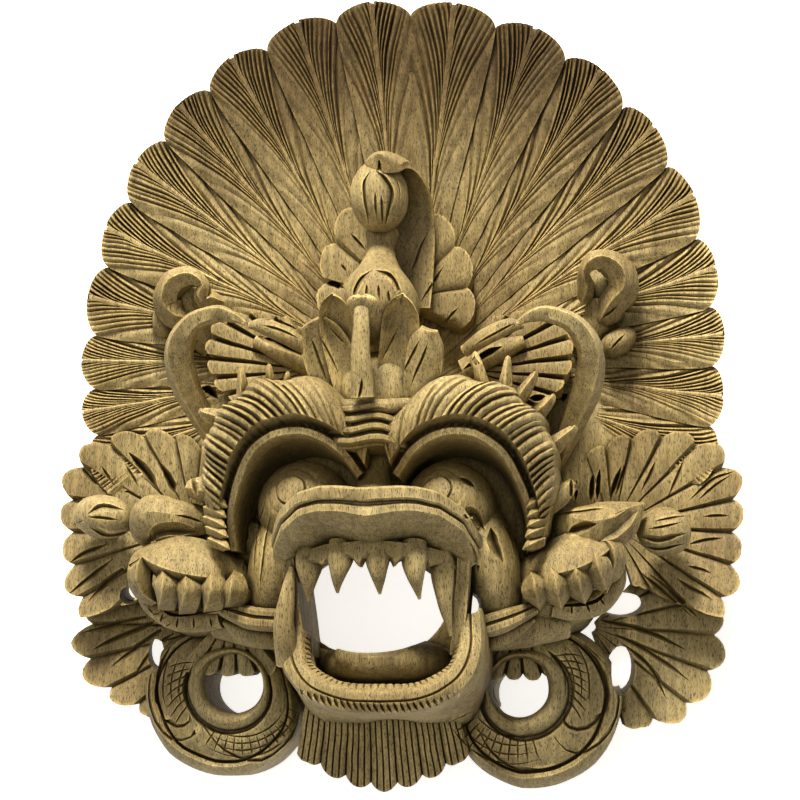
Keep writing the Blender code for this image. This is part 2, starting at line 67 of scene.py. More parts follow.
SCROLL_THICKNESS = 0.034
BEARD_THICKNESS = 0.022
BACK_RECESS_DEPTH = 0.058
UNIT = MASK_HEIGHT / 400

# The middle of the CAD outline in the layout, which is the frame's origin
ORIGIN = (-4.8, 5.9, 0.0)

# Where the photo is taken from: steps right and down for each unit of height, and the height above MIDDLE_Z
VIEW_SLOPE = (0.114, -0.2126)
VIEW_HEIGHT = 850.0
MIDDLE_X = -2.0
MIDDLE_Z = 60.0
PHOTO_WIDTH = 400.0

# A hand carving drifts off its own axis: the middle of each pair or part, in units from X = 0
BROW_X = -7
EYE_X = -10
LIP_X = -7
JAW_X = -5
JOWL_X = -14
EAR_X = -5
HORN_X = -5
LEFT_LEAF_X = -3
RIGHT_LEAF_X = 1
CREST_X = -8
BEARD_X = -11
FACE_X = -7


def thickness(metres):
    """A thickness in metres, in units."""
    return metres / UNIT


# From the layout to the mask

SLANT = np.array([*VIEW_SLOPE, 1.0])
SLANT_LENGTH = np.linalg.norm(SLANT)
VIEW_AXIS = SLANT / SLANT_LENGTH
VIEW_ACROSS = np.cross((0, 1, 0), VIEW_AXIS) / np.linalg.norm(np.cross((0, 1, 0), VIEW_AXIS))
VIEW_UP = np.cross(VIEW_AXIS, VIEW_ACROSS)
VIEW_TARGET = np.array([MIDDLE_X, 0, MIDDLE_Z])
VIEW_EYE = VIEW_TARGET + VIEW_HEIGHT * SLANT


def true_places(points):
    """Where points of the layout lie on the mask, which is seen along a slanted line."""
    fall = (points[:, 2:] - VIEW_EYE[2]) / -VIEW_HEIGHT
    seen = VIEW_EYE[:2] + (points[:, :2] - VIEW_EYE[:2]) / fall - VIEW_TARGET[:2]
    rays = seen[:, :1] * VIEW_ACROSS + seen[:, 1:] * VIEW_UP - VIEW_HEIGHT * SLANT_LENGTH * VIEW_AXIS
    return VIEW_EYE + rays * (points[:, 2:] - VIEW_EYE[2]) / rays[:, 2:]


PHOTO_MIDDLE = (404.0, 400.0)
PIXEL = PHOTO_WIDTH / 800
UP = (0, 0, 1)


def spot(across, down, height):
    """The place in the layout of a pixel of the photo, at a height."""
    nearer = 1 + (height - MIDDLE_Z) / VIEW_HEIGHT
    x = ((across - PHOTO_MIDDLE[0]) * PIXEL + VIEW_SLOPE[0] * (height - MIDDLE_Z)) / nearer
    y = ((PHOTO_MIDDLE[1] - down) * PIXEL + VIEW_SLOPE[1] * (height - MIDDLE_Z)) / nearer
    return x, y, height


def traced(path):
    """A path of points (x, y, z, radius) through pixels of the photo (across, down, height, radius)."""
    return [(*spot(*point[:3]), point[3]) for point in path]


def pixel_around(middle, radius, angle):
    """The pixel at a radius in pixels and an angle in degrees from a middle, turning up from the right."""
    turn = math.radians(angle)
    return middle[0] + radius * math.cos(turn), middle[1] - radius * math.sin(turn)


# Meshes of points and faces


def circle(count):
    """Angles in radians all the way round."""
    return np.linspace(0, 2 * math.pi, count, endpoint=False)


def sheet(front, back):
    """A closed solid between two grids of points (rows, columns, 3).

    Both have the same rows, and the back may have fewer columns.
    """
    rows, wide = front.shape[:2]
    narrow = back.shape[1]
    ahead = np.arange(rows * wide).reshape(rows, wide)
    behind = np.arange(rows * narrow).reshape(rows, narrow) + rows * wide

    def quads(index):
        corners = [index[:-1, :-1], index[1:, :-1], index[1:, 1:], index[:-1, 1:]]
        return np.stack(corners, axis=-1).reshape(-1, 4)

    faces = quads(ahead).tolist() + quads(behind)[:, ::-1].tolist()
    for edge, other, turn in ((ahead[:, 0], behind[:, 0], 1), (ahead[:, -1], behind[:, -1], -1)):
        wall = np.stack([edge[:-1], other[:-1], other[1:], edge[1:]], axis=-1)
        faces += wall[:, ::turn].tolist()
    faces.append([*behind[0], *ahead[0, ::-1]])
    faces.append([*ahead[-1], *behind[-1, ::-1]])
    return np.concatenate([front.reshape(-1, 3), back.reshape(-1, 3)]), faces


def closed_rings(rings):
    """A closed solid through rings of points (rings, points, 3), with flat ends."""
    count, around = rings.shape[:2]
    index = np.arange(count * around).reshape(count, around)
    after = np.roll(index, -1, axis=1)
    quads = np.stack([index[:-1], after[:-1], after[1:], index[1:]], axis=-1).reshape(-1, 4)
    ends = [index[0].tolist(), index[-1, ::-1].tolist()]
    return rings.reshape(-1, 3), quads.tolist() + ends


def closed_loop(rings):
    """A closed solid through rings of points that come back to the first, as a plate with a hole."""
    index = np.arange(rings.shape[0] * rings.shape[1]).reshape(rings.shape[:2])
    ahead = np.roll(index, -1, axis=0)
    quads = np.stack([index, np.roll(index, -1, axis=1), np.roll(ahead, -1, axis=1), ahead], axis=-1)
    return rings.reshape(-1, 3), quads.reshape(-1, 4).tolist()


def smooth_path(points, count):
    """A Catmull-Rom curve through points, as count points. Columns past the third are widths."""
    return along_path(points, np.linspace(0, 1, count))


def along_path(points, shares):
    """Points of a Catmull-Rom curve through points, at shares of its length from 0 to 1."""
    points = np.array(points, float)
    padded = np.concatenate([2 * points[:1] - points[1:2], points, 2 * points[-1:] - points[-2:-1]])
    place = np.clip(shares, 0, 1) * (len(points) - 1)
    start = np.minimum(place.astype(int), len(points) - 2)
    t = (place - start)[..., None]
    a, b, c, d = (padded[start + k] for k in range(4))
    bend = (2 * a - 5 * b + 4 * c - d) * t**2
    return 0.5 * (2 * b + (c - a) * t + bend + (3 * b - a - 3 * c + d) * t**3)


def unit_rows(vectors):
    return vectors / np.maximum(np.linalg.norm(vectors, axis=-1, keepdims=True), 1e-9)


def sweep(path, profile):
    """Rings along a path. profile(share) gives the section there, as points (side, up)."""
    path = np.asarray(path, float)
    tangents = unit_rows(np.gradient(path, axis=0))
    rings = []
    for k, (point, tangent) in enumerate(zip(path, tangents)):
        side = unit_rows(np.cross(tangent, UP))
        lift = np.cross(side, tangent)
        section = np.asarray(profile(k / (len(path) - 1)))
        rings.append(point + section[:, :1] * side + section[:, 1:] * lift)
    return closed_rings(np.array(rings))


def faceted(path, section, steps=25):
    """A bar with flat facets: points (x, y, z, radius) and a section (side, up) for a radius of 1."""
    line = smooth_path(path, steps)
    corners = np.array(section, float)

    def scaled(share):
        return corners * np.interp(share, np.linspace(0, 1, steps), line[:, 3])

    return sweep(line[:, :3], scaled)


def bar(path, steps=17, around=14, flat=1.0):
    """A round bar along points (x, y, z, radius). flat below 1 thins it along the up axis."""
    angles = circle(around)
    return faceted(path, np.stack([np.cos(angles), flat * np.sin(angles)], axis=1), steps)


def ovoid(centre, radii, tilt=0.0, petals=0, depth=0.0, around=24, rows=14):
    """An egg with its long axis along Y, turned by tilt degrees in the XY plane, with lengthwise cuts."""
    polar = np.linspace(0, math.pi, rows + 2)[1:-1]
    angles = circle(around)
    cuts = cut(petals * angles / (2 * math.pi), PETAL_CUT) if petals else np.zeros(around)
    ribs = 1 - depth * cuts * np.sin(polar)[:, None] ** 0.5
    x = radii[0] * np.sin(polar)[:, None] * np.cos(angles) * ribs
    y = radii[1] * np.cos(polar)[:, None] * np.ones(around)
    z = radii[2] * np.sin(polar)[:, None] * np.sin(angles) * ribs
    turn = math.radians(tilt)
    across = x * math.cos(turn) - y * math.sin(turn)
    along = x * math.sin(turn) + y * math.cos(turn)
    return closed_rings(np.stack([across, along, z], axis=-1) + np.array(centre))


def mirrored(shape):
    """The same shape on the other side of the plane X = 0."""
    points, faces = shape
    return points * np.array([-1, 1, 1]), [face[::-1] for face in faces]


def as_drawn(shape):
    return shape


def moved(shape, x, y=0.0):
    points, faces = shape
    return points + np.array([x, y, 0]), faces


def pair(shape, x=FACE_X):
    """A shape and its mirror image, about the line at x."""
    return [moved(shape, x), moved(mirrored(shape), x)]


# Cuts of the gouge

PETAL_CUT = 0.3


def cut(place, width):
    """How deep a V cut is, from 0 to 1, with one cut at each whole number of place."""
    near = np.abs((np.asarray(place) + 0.5) % 1 - 0.5)
    return np.clip(1 - near / width, 0, 1)


def cut_places(cuts, width, rounds=0):
    """Places from 0 to cuts that hold each cut's lips and bottom, and rounds more between two cuts."""
    between = np.linspace(width, 1 - width, rounds + 2)
    one = np.concatenate([[0], between])
    return np.concatenate([(np.arange(cuts)[:, None] + one).ravel(), [cuts]])


# Leaves, and the steps along and across them

LEAF_ROWS = 9
HOOD_COLUMNS = 8
LEAF_BACK = 0.96


def lobe_columns(lobes, spots, notch):
    """For each column of a leaf: its angle in radians, its reach, and its place across its lobe."""
    angles = np.array([lobe[0] for lobe in lobes], float)
    radii = np.array([lobe[1] for lobe in lobes], float)
    middles = (angles[1:] + angles[:-1]) / 2
    edges = np.concatenate([[2 * angles[0] - middles[0]], middles, [2 * angles[-1] - middles[-1]]])
    columns = []
    for k in range(len(lobes)):
        for share in spots[k > 0 :]:
            angle = (edges[k] + edges[k + 1]) / 2 + share * (edges[k + 1] - edges[k]) / 2
            neighbour = min(max(k + (1 if share > 0 else -1), 0), len(lobes) - 1)
            reach = radii[k] + (radii[neighbour] - radii[k]) / 2 * abs(share)
            columns.append((math.radians(angle), reach * (1 - notch * abs(share) ** 2.4), share))
    return np.array(columns)


def palmette(centre, root, lobes, base, thick, crown, notch, cuts=0, vein=1.6, rounds=1, seam=0.17, lap=0):
    """A leaf of round lobes fanned about a centre, each lobe with cuts along it.

    Lobes are (angle in degrees, radius), base(x, y) is the leaf's height, and lap tilts each lobe.
    crown raises a lobe's middle, notch pulls its edges back, and vein is a cut's depth and seam its width.
    """
    place = cut_places(cuts + 1, seam, rounds)
    spots = place / (cuts + 1) * 2 - 1
    columns = lobe_columns(lobes, spots, notch)
    shares = np.linspace(0, 1, LEAF_ROWS + 1)[None, :]
    angle, reach, spot = (columns[:, k : k + 1] for k in range(3))
    radius = root + (reach - root) * shares
    x = centre[0] + radius * np.cos(angle)
    y = centre[1] + radius * np.sin(angle)
    rise = (crown * (0.4 - np.abs(spot) ** 4) + lap * spot) * shares**1.5
    fade = np.interp(shares, (0, 0.35, 0.9, 1), (0, 0.7, 1, 0.7))
    dip = vein * cut((spot + 1) / 2 * (cuts + 1), seam) * fade
    front = np.stack([x, y, base(x, y) + rise - dip], axis=-1)
    behind = np.concatenate([np.full_like(reach, root), LEAF_BACK * reach], axis=1)
    x = centre[0] + behind * np.cos(angle)
    y = centre[1] + behind * np.sin(angle)
    return sheet(front, np.stack([x, y, base(x, y) - thick], axis=-1))


def hood(path, thick, cup, steps=21, tip=1.0):
    """A leaf along points (x, y, z, half width) that may curl over towards the viewer.

    cup, one number or a table along it, raises its sides, and past the share tip it narrows in a round end.
    """
    shares = 1 - (1 - np.linspace(0, 1, steps)) ** 1.6
    line = along_path(path, shares)
    past = np.clip(shares - tip, 0, 1) / max(1 - tip, 0.01)
    line[:, 3] *= np.sqrt(np.clip(1 - past**2, 0.02, 1))
    tangents = unit_rows(np.gradient(line[:, :3], axis=0))
    normals = unit_rows(np.cross((1, 0, 0), tangents))[:, None]
    side = np.cross(tangents[:, None], normals)
    spread = np.linspace(-1, 1, HOOD_COLUMNS + 1)[:, None]
    hollow = np.interp(shares, np.linspace(0, 1, np.size(cup)), np.atleast_1d(cup))[:, None, None]
    front = line[:, None, :3] + side * line[:, None, 3:] * spread + normals * hollow * (spread**2 - 1)
    return sheet(front, front - normals * thick)


# The fan of feathers, in units and degrees

FAN_CENTRE = (-1.0, 4.0)
FAN_LEAN = 6.0
FAN_SIDE_RADIUS = 153.0
FAN_TOP_EXTRA = 26.0
LEFT_NOTCHES = (109, 97.5, 89, 79.5, 67.5, 56, 44.5, 34, 23, 11.5)
RIGHT_NOTCHES = (13.5, 25.5, 37.5, 49.5, 62.5, 74.5, 85, 96, 107)
FEATHER_LOBE = 8.0
FEATHER_CROWN = 2.2
FEATHER_STEP = 1.4
FAN_ROOT_Z = 42.0
FAN_TOP_Z = 79.0
FAN_SIDE_Z = 56.0
FEATHER_DROOP = 0.22
BARBS_TO_SIDE = 8
BARBS_TO_RIM = 8
BARB_WIDTH = 0.38
BARB_DEPTH = 2.3
BARB_CURVE = 2.1
BARB_DRIFT = 0.22
BARB_COLUMNS = 9
RACHIS = 0.06
RACHIS_RISE = 0.35
FEATHER_BACK = 0.985
FEATHER_LAP = 0.25


def fan_point(angle, radius, share, height):
    """A point of the fan. Feathers droop: near the root they stand more upright than at the rim."""
    bent = angle * (1 - FEATHER_DROOP * np.clip(1 - share, 0, 1) ** 1.5)
    lean = FAN_LEAN * share * np.clip(np.cos(angle), 0, 1)
    x = FAN_CENTRE[0] + lean + radius * np.sin(bent)
    return np.stack([x, FAN_CENTRE[1] + radius * np.cos(bent), height], -1)


def fan_height(angle, share):
    """Height of the dished fan at a share of its radius: its top leans forward most."""
    rim = FAN_SIDE_Z + (FAN_TOP_Z - FAN_SIDE_Z) * np.clip(np.cos(angle), 0, 1)
    return FAN_ROOT_Z + (rim - FAN_ROOT_Z) * share**2


def fan_reach(angle):
    """Radius of the notches between feathers at an angle from the top, in radians."""
    return FAN_SIDE_RADIUS + FAN_TOP_EXTRA * np.clip(np.cos(angle), 0, 1) ** 1.6


def feather_reach(middle, edge, spot):
    """Radius of a feather's round end at a spot from its rachis, 0, to its edge, 1."""
    lobe = FEATHER_LOBE * np.sqrt(np.clip(1 - spot**2, 0, 1))
    return fan_reach(middle + spot * (edge - middle)) + lobe


def half_feather(middle, edge, side, chance):
    """The grid of points of one half of a feather, its rows along the barbs from the rachis to the edge."""
    barbs = BARBS_TO_SIDE + BARBS_TO_RIM
    count = cut_places(barbs, BARB_WIDTH)
    # A hand-cut barb is never quite as far or as deep as the next
    drift = np.interp(count, range(barbs + 1), [*chance.uniform(-BARB_DRIFT, BARB_DRIFT, barbs), 0])
    strength = np.interp(count, range(barbs + 1), chance.uniform(0.5, 1.2, barbs + 1))[:, None]
    row = np.clip(count + drift, 0, barbs)[:, None]
    out = np.linspace(0, 1, BARB_COLUMNS)[None, :]
    half = abs(edge - middle)
    at_rim = row > BARBS_TO_SIDE
    end_spot = np.where(at_rim, 1 - (1 - RACHIS) * (row - BARBS_TO_SIDE) / BARBS_TO_RIM, 1.0)
    end_share = np.clip(0.12 + 0.88 * row / BARBS_TO_SIDE, 0, 1)
    start = (0.08 + 0.915 * row / barbs) * feather_reach(middle, edge, RACHIS)
    end = end_share * feather_reach(middle, edge, end_spot)
    # Each barb leaves the rachis along it and bends outwards
    length = start + (end - start) * out
    across = half * (RACHIS * start + (end_spot * end - RACHIS * start) * out**BARB_CURVE)
    spot = np.clip(across / (length * half), 0, 1)
    share = np.clip(length / feather_reach(middle, edge, spot), 0, 1)
    angle = middle + spot * (edge - middle)
    crown = FEATHER_CROWN * (1 - spot**2) - 2.2 * np.clip((spot - 0.86) / 0.14, 0, 1) ** 2
    height = fan_height(angle, share) + (crown + FEATHER_STEP * spot * side) * share
    deep = BARB_DEPTH * (0.75 if side > 0 else 1.2) * (0.12 + 0.88 * share**1.8)
    fade = np.interp(out, (0, 0.12, 0.88, 1), (0, 1, 0.9, 0.25))
    grooves = deep * strength * cut(count, BARB_WIDTH)[:, None] * fade
    return fan_point(angle, length, share, height - grooves * np.clip(share * 4 - 0.6, 0, 1))


def feather(low, high, thick, chance):
    """One feather as a closed solid: two halves of barbs about its rachis, and a plain back."""
    middle = (low + high) / 2
    upper_side = 1 if middle > 0 else -1
    left = half_feather(middle, low, -upper_side, chance)
    right = half_feather(middle, high, upper_side, chance)
    rachis = (left[:, :1] + right[:, :1]) / 2 + np.array([0, 0, RACHIS_RISE])
    front = np.concatenate([left[:, ::-1], rachis, right], axis=1)
    back = np.stack([front[:, 0], front[:, -1]], axis=1)
    centre = np.array([*FAN_CENTRE, 0])
    back = centre + (back - centre) * np.array([FEATHER_BACK, FEATHER_BACK, 1]) - np.array([0, 0, thick])
    return sheet(front, back)


def fan():
    """All the feathers. Each laps a little over the next."""
    notches = np.radians([*[-angle for angle in LEFT_NOTCHES], 0, *RIGHT_NOTCHES])
    lap = math.radians(FEATHER_LAP)
    plate = thickness(FAN_THICKNESS)
    return [
        feather(low - lap, high + lap, plate + 0.7 * (number % 2), np.random.default_rng(number))
        for number, (low, high) in enumerate(zip(notches, notches[1:]))
    ]


# Leaves at the sides

SIDE_LEAF_CENTRE = (104.0, -62.0)
SIDE_LOBES = ((104, 40), (87, 45), (70, 51), (53, 58), (36, 66), (20, 68))
SIDE_LOBES += ((4, 65), (-11, 65), (-27, 70), (-41, 72), (-54, 46), (-67, 33))
LOW_LEAF_CENTRE = (92.0, -111.0)
LOW_LEFT_LOBES = ((38, 50), (22, 62), (8, 68), (-7, 77), (-22, 75), (-37, 67), (-50, 60))
LOW_RIGHT_LOBES = ((38, 52), (22, 62), (4, 68), (-13, 71), (-30, 70), (-48, 68), (-64, 58))
LEAF_SIDES = ((mirrored, LEFT_LEAF_X), (as_drawn, RIGHT_LEAF_X))


def side_height(x, y):
    return 48 + 0.17 * np.hypot(x - SIDE_LEAF_CENTRE[0], y - SIDE_LEAF_CENTRE[1])


def low_height(x, y):
    return 36 + 0.10 * np.hypot(x - LOW_LEAF_CENTRE[0], y - LOW_LEAF_CENTRE[1])


def side_leaves():
    """The flat leaf beside each ear and the lower one under it, each with an uneven edge of lobes."""
    thick = thickness(LEAF_THICKNESS)
    plate = {"crown": 2.0, "notch": 0.085, "rounds": 5, "vein": 1.8, "seam": 0.1}
    side = palmette(SIDE_LEAF_CENTRE, 8, SIDE_LOBES, side_height, thick, lap=1.1, **plate)
    left, right = (
        palmette(LOW_LEAF_CENTRE, 3, lobes, low_height, thick, lap=0.9, **plate)
        for lobes in (LOW_LEFT_LOBES, LOW_RIGHT_LOBES)
    )
    under = ovoid((86, -30, 28), (38, 60, 24), around=16, rows=8)
    both = [moved(turned(leaf), x) for leaf in (side, under) for turned, x in LEAF_SIDES]
    return [*both, moved(mirrored(left), LEFT_LEAF_X), moved(right, RIGHT_LEAF_X)]


# The scrolls under the cheeks, each around a round opening

LEFT_RING = (-85.0, -142.0)
RIGHT_RING = (58.0, -144.0)
RIGHT_SCROLL_SCALE = 1.09
RING_HOLE = 14.5
SCROLL_TOP_Z = 60.0
SCROLL_FALL = 10.0
# Places from the ring's hole to the scroll's edge, and how far the front is raised there
SCROLL_PLACES = (0, 0.03, 0.08, 0.14, 0.2, 0.25, 0.28, 0.31)
SCROLL_PLACES += (0.35, 0.48, 0.61, 0.74, 0.77, 0.8, 0.86, 0.93, 1)
SCROLL_RISES = (-2.5, 1.6, 3.6, 4, 3.2, 1, -2.8, -2.4, 0.8, 0.8, 0.8, 0.8, -2.2, 0.6, 2.6, 2, -0.6)
# How far the scroll's edge lies from its ring's centre, every 45 degrees from the side away from the chin
SCROLL_REACHES = (47, 38, 28, 25, 27, 38, 46, 49, 47)


def scroll(scale, around=72):
    """A plate around a hole, its front raised in an inner roll, a hatched band and an outer rim."""
    degrees = np.linspace(0, 360, around, endpoint=False)[:, None]
    share = np.array(SCROLL_PLACES)
    reach = np.interp(degrees, np.linspace(0, 360, len(SCROLL_REACHES)), SCROLL_REACHES)
    spread = scale * reach - RING_HOLE
    radius = RING_HOLE + spread * share
    turn = np.radians(degrees)
    height = SCROLL_TOP_Z + np.array(SCROLL_RISES) + 1.5 * np.sin(math.pi * share) - SCROLL_FALL * share**2
    rim = np.array([1.0, 0.0])
    behind = RING_HOLE + spread * rim
    low = SCROLL_TOP_Z - SCROLL_FALL * rim - thickness(SCROLL_THICKNESS)
    faces = []
    for out, level in ((radius, height), (behind, low)):
        level = np.broadcast_to(level, out.shape)
        faces.append(np.stack([out * np.cos(turn), out * np.sin(turn), level], axis=-1))
    return closed_loop(np.concatenate(faces, axis=1))


def hanging_leaf():
    """The scalloped leaf that hangs into a scroll's opening."""
    lobes = [(-52, 38), (-69, 34), (-86, 32), (-103, 33), (-122, 37)]
    plate = {"crown": 3.2, "notch": 0.12, "rounds": 4, "vein": 1.2, "seam": 0.12}
    return palmette((1, 36), 9, lobes, lambda x, y: 60 + 0.15 * (y - 10), 16, **plate)


def hanging_leaves():
    return [moved(mirrored(hanging_leaf()), *place) for place in (LEFT_RING, RIGHT_RING)]


def scrolls():
    return [moved(mirrored(scroll(1.0)), *LEFT_RING), moved(scroll(RIGHT_SCROLL_SCALE), *RIGHT_RING)]


# The face, and its core as levels: share of its outline, height

FACE_LEVELS = ((1.0, 0), (1.03, 20), (1.01, 32), (0.96, 44), (0.9, 54), (0.8, 62), (0.55, 72), (0.25, 76))


def face_core(around=48):
    """The rounded block that carries the face, flat on its back."""
    angles = circle(around)
    rings = []
    for share, height in FACE_LEVELS:
        x = 84 * share * np.cos(angles)
        y = -74 + 96 * share * np.sin(angles)
        rings.append(np.stack([x, y, np.full(around, height)], axis=1))
    return moved(closed_rings(np.array(rings)), FACE_X)


BROW_PATH = ((9, -46), (18, -35), (32, -28), (47, -29), (59, -37), (67, -51), (71, -65), (71, -79))
BROW_WIDTH = (9, 18, 25, 27, 24, 17, 8, 2.5)
BROW_TOP = (108, 116, 120, 119, 114, 106, 98, 90)
RIM_WALL = 4.5
BROW_HAIRS = 34
HAIR_WIDTH = 0.36
HAIR_DRIFT = 0.22
# How far each hair's tip leans along the rim from its root, by where its root is
HAIR_ROOTS = (0, 0.14, 0.36, 0.5, 0.6, 0.75, 1)
HAIR_LEANS = (0.13, 0.17, 0.13, 0.06, 0, -0.06, -0.04)
HAIR_STRENGTHS = (0.3, 0.35, 1, 1, 1.1, 1.1, 1)


def brow_table(share, table):
    return np.interp(share * (len(BROW_PATH) - 1), range(len(BROW_PATH)), table)


def brow(seed):
    """One rim and its tuft of hair: rows follow the slanted hairs, columns go round the section."""
    hair = cut_places(BROW_HAIRS, HAIR_WIDTH, 1)[:, None] / BROW_HAIRS
    chance = np.random.default_rng(seed)
    edges = range(BROW_HAIRS + 1)
    each = np.interp(hair * BROW_HAIRS, edges, chance.uniform(0.55, 1.25, len(edges)))
    hair_drift = np.interp(hair * BROW_HAIRS, edges, chance.uniform(-HAIR_DRIFT, HAIR_DRIFT, len(edges)))
    strength = 2.3 * each * np.interp(hair, HAIR_ROOTS, HAIR_STRENGTHS)
    # Across the tuft: 0 at the rim, 1 at the outer foot
    tuft = np.array([0, 0.06, 0.14, 0.3, 0.5, 0.7, 0.85, 0.94, 1.0])[None, :]
    share = np.clip(hair + hair_drift / BROW_HAIRS + np.interp(hair, HAIR_ROOTS, HAIR_LEANS) * tuft, 0, 1)
    clump = 0.5 + 0.5 * np.sin(BROW_HAIRS * hair * 1.15 + seed)
    width = brow_table(share, BROW_WIDTH) * (0.94 + 0.1 * clump)
    top = brow_table(share, BROW_TOP)
    rise = np.interp(tuft, (0, 0.06, 0.14, 0.4, 0.6, 0.8, 0.92, 1), (-9, -7, 4, 6, 4.5, 1, -7, -26))
    fade = np.interp(tuft, (0, 0.06, 0.85, 1), (0, 1, 1, 0.3))
    deep = strength * cut(hair * BROW_HAIRS, HAIR_WIDTH) * fade
    side = -RIM_WALL + 0.5 - width * tuft
    lift = top + rise + 2.2 * (clump - 0.5) * np.sin(math.pi * tuft) - deep
    foot = np.full_like(lift[:, :1], 50)
    rim_top = brow_table(hair, BROW_TOP)
    rim = [(RIM_WALL - 1.6, foot), (RIM_WALL - 2.6, rim_top - 12), (RIM_WALL - 3.2, rim_top - 1.6)]
    rim += [(RIM_WALL - 3.9, rim_top - 0.6), (-RIM_WALL + 2.4, rim_top - 0.4)]
    rim += [(-RIM_WALL + 1.6, rim_top - 1.8), (-RIM_WALL + 1.2, rim_top - 8)]
    sides = np.concatenate([np.full_like(hair, place) for place, _ in rim] + [side, side[:, -1:]], axis=1)
    lifts = np.concatenate([height for _, height in rim] + [lift, foot], axis=1)
    shares = np.concatenate([np.repeat(hair, len(rim), 1), share, share[:, -1:]], axis=1)
    step = 1e-3
    flat_path = [(x, y, 0) for x, y in BROW_PATH]
    place = along_path(flat_path, shares)
    ahead = along_path(flat_path, shares + step) - along_path(flat_path, shares - step)
    across = unit_rows(np.cross(ahead, UP))
    rings = place + sides[..., None] * across
    rings[..., 2] = lifts
    return closed_rings(rings)


def brows():
    return [moved(brow(1), BROW_X), moved(mirrored(brow(2)), BROW_X)]


# Small pointed tips over the brows, through the photo's pixels: root, tip, height and radius
BROW_TIPS = (
    ((243, 398), (242, 373), 112, 3.0),
    ((272, 392), (270, 369), 114, 2.6),
    ((286, 392), (288, 376), 112, 2.4),
    ((482, 384), (476, 357), 113, 3.4),
    ((505, 386), (508, 361), 112, 3.2),
    ((519, 398), (534, 377), 108, 3.6),
    ((532, 418), (552, 399), 102, 4.2),
    ((222, 420), (203, 413), 102, 4.6),
    ((552, 446), (573, 430), 98, 4.4),
)
COMB_STARTS = ((211, 501), (210, 511), (210, 521), (212, 531), (214, 543))
COMB_WIDE = 17
COMB_ENDS = 754
LEFT_KNOB = ((190, 488, 84, 4), (204, 490, 90, 6), (218, 497, 90, 4), (230, 502, 88, 1.5))
RIGHT_KNOB = ((572, 484, 84, 3), (562, 494, 90, 5), (548, 505, 90, 5), (536, 514, 88, 2))
TIP_SECTION = ((1.0, -1.2), (1.0, 0.0), (0.0, 0.95), (-1.0, 0.0), (-1.0, -1.2))


def brow_trim():
    """The tips over the brows, the comb at the outer end of each rim and the knobs beside them."""
    shapes = []
    for root, tip, height, radius in BROW_TIPS:
        ends = [(*root, height - 3, radius), (*tip, height, 0.5 * radius)]
        ends.append((*pixel_around(tip, 3, 90), height - 2, 0.3))
        shapes.append(faceted(traced(ends), TIP_SECTION, 7))
    for across, down in COMB_STARTS:
        for start, way in ((across, 1), (COMB_ENDS - across, -1)):
            wide = way * COMB_WIDE
            path = [(start - way * 2, down - 2, 97, 3), (start + wide * 0.6, down + 3, 102, 2.6)]
            path.append((start + wide, down + 7, 101, 0.4))
            shapes.append(faceted(traced(path), TIP_SECTION, 7))
    return shapes + [faceted(traced(path), EAR_SECTION, 13) for path in (LEFT_KNOB, RIGHT_KNOB)]


PUPILS = (((-48.3, -52.3), 7.5), ((20.8, -52.3), 7.4))


def eye(centre, pupil, radius):
    """A bulging eyeball with its pupil ringed by a thin cut and a softer one."""
    middle, radii = np.array([*centre, 82.0]), (23, 23, 26)
    polar = np.concatenate([np.linspace(0.02, 1.5, 46), np.linspace(1.6, 2.6, 5)])
    angles = circle(48)
    # The poles lie on the line from the ball's middle through the pupil
    aim = unit_rows(np.array([pupil[0] - middle[0], pupil[1] - middle[1], 20.0]))
    one = unit_rows(np.cross((0, 1, 0), aim))
    two = np.cross(aim, one)
    round_aim = np.cos(angles)[None, :, None] * one + np.sin(angles)[None, :, None] * two
    way = np.cos(polar)[:, None, None] * aim + np.sin(polar)[:, None, None] * round_aim
    ring = radius / 24
    deep = 0.9 * np.clip(1 - np.abs(polar - ring) / 0.035, 0, 1)
    deep += 0.5 * np.clip(1 - np.abs(polar - 1.8 * ring) / 0.05, 0, 1) * (polar < 1)
    deep -= 0.8 * (polar < ring)
    size = 1 - deep / 24
    return closed_rings(middle + way * np.array(radii) * size[:, None, None])


def eyes():
    left_pupil, right_pupil = PUPILS
    balls = [eye((-35 + EYE_X, -58), *left_pupil), eye((35 + EYE_X, -58), *right_pupil)]
    cheeks = pair(ovoid((51, -84, 74), (16, 34, 26), tilt=12, petals=5, depth=0.05), BROW_X)
    return [*balls, *cheeks]


LIP_HALF = 50.0
LIP_BACK_Z = 104.0
LIP_FRONT_Z = 150.0
MUZZLE_TURN = 82


def visor(half, back_z, front_z, section, steps=49):
    """A section (forward, up) swept round the front of the muzzle, a half ellipse in plan."""
    rings = []
    for angle in np.radians(np.linspace(-MUZZLE_TURN, MUZZLE_TURN, steps)):
        points = np.array(section(math.sin(angle)), float)
        out = np.array([half * math.sin(angle), 0, back_z + (front_z - back_z) * math.cos(angle)])
        facing = np.array([math.sin(angle), 0, math.cos(angle)])
        rings.append(out + points[:, :1] * facing + points[:, 1:] * np.array([0, 1, 0]))
    return closed_rings(np.array(rings))


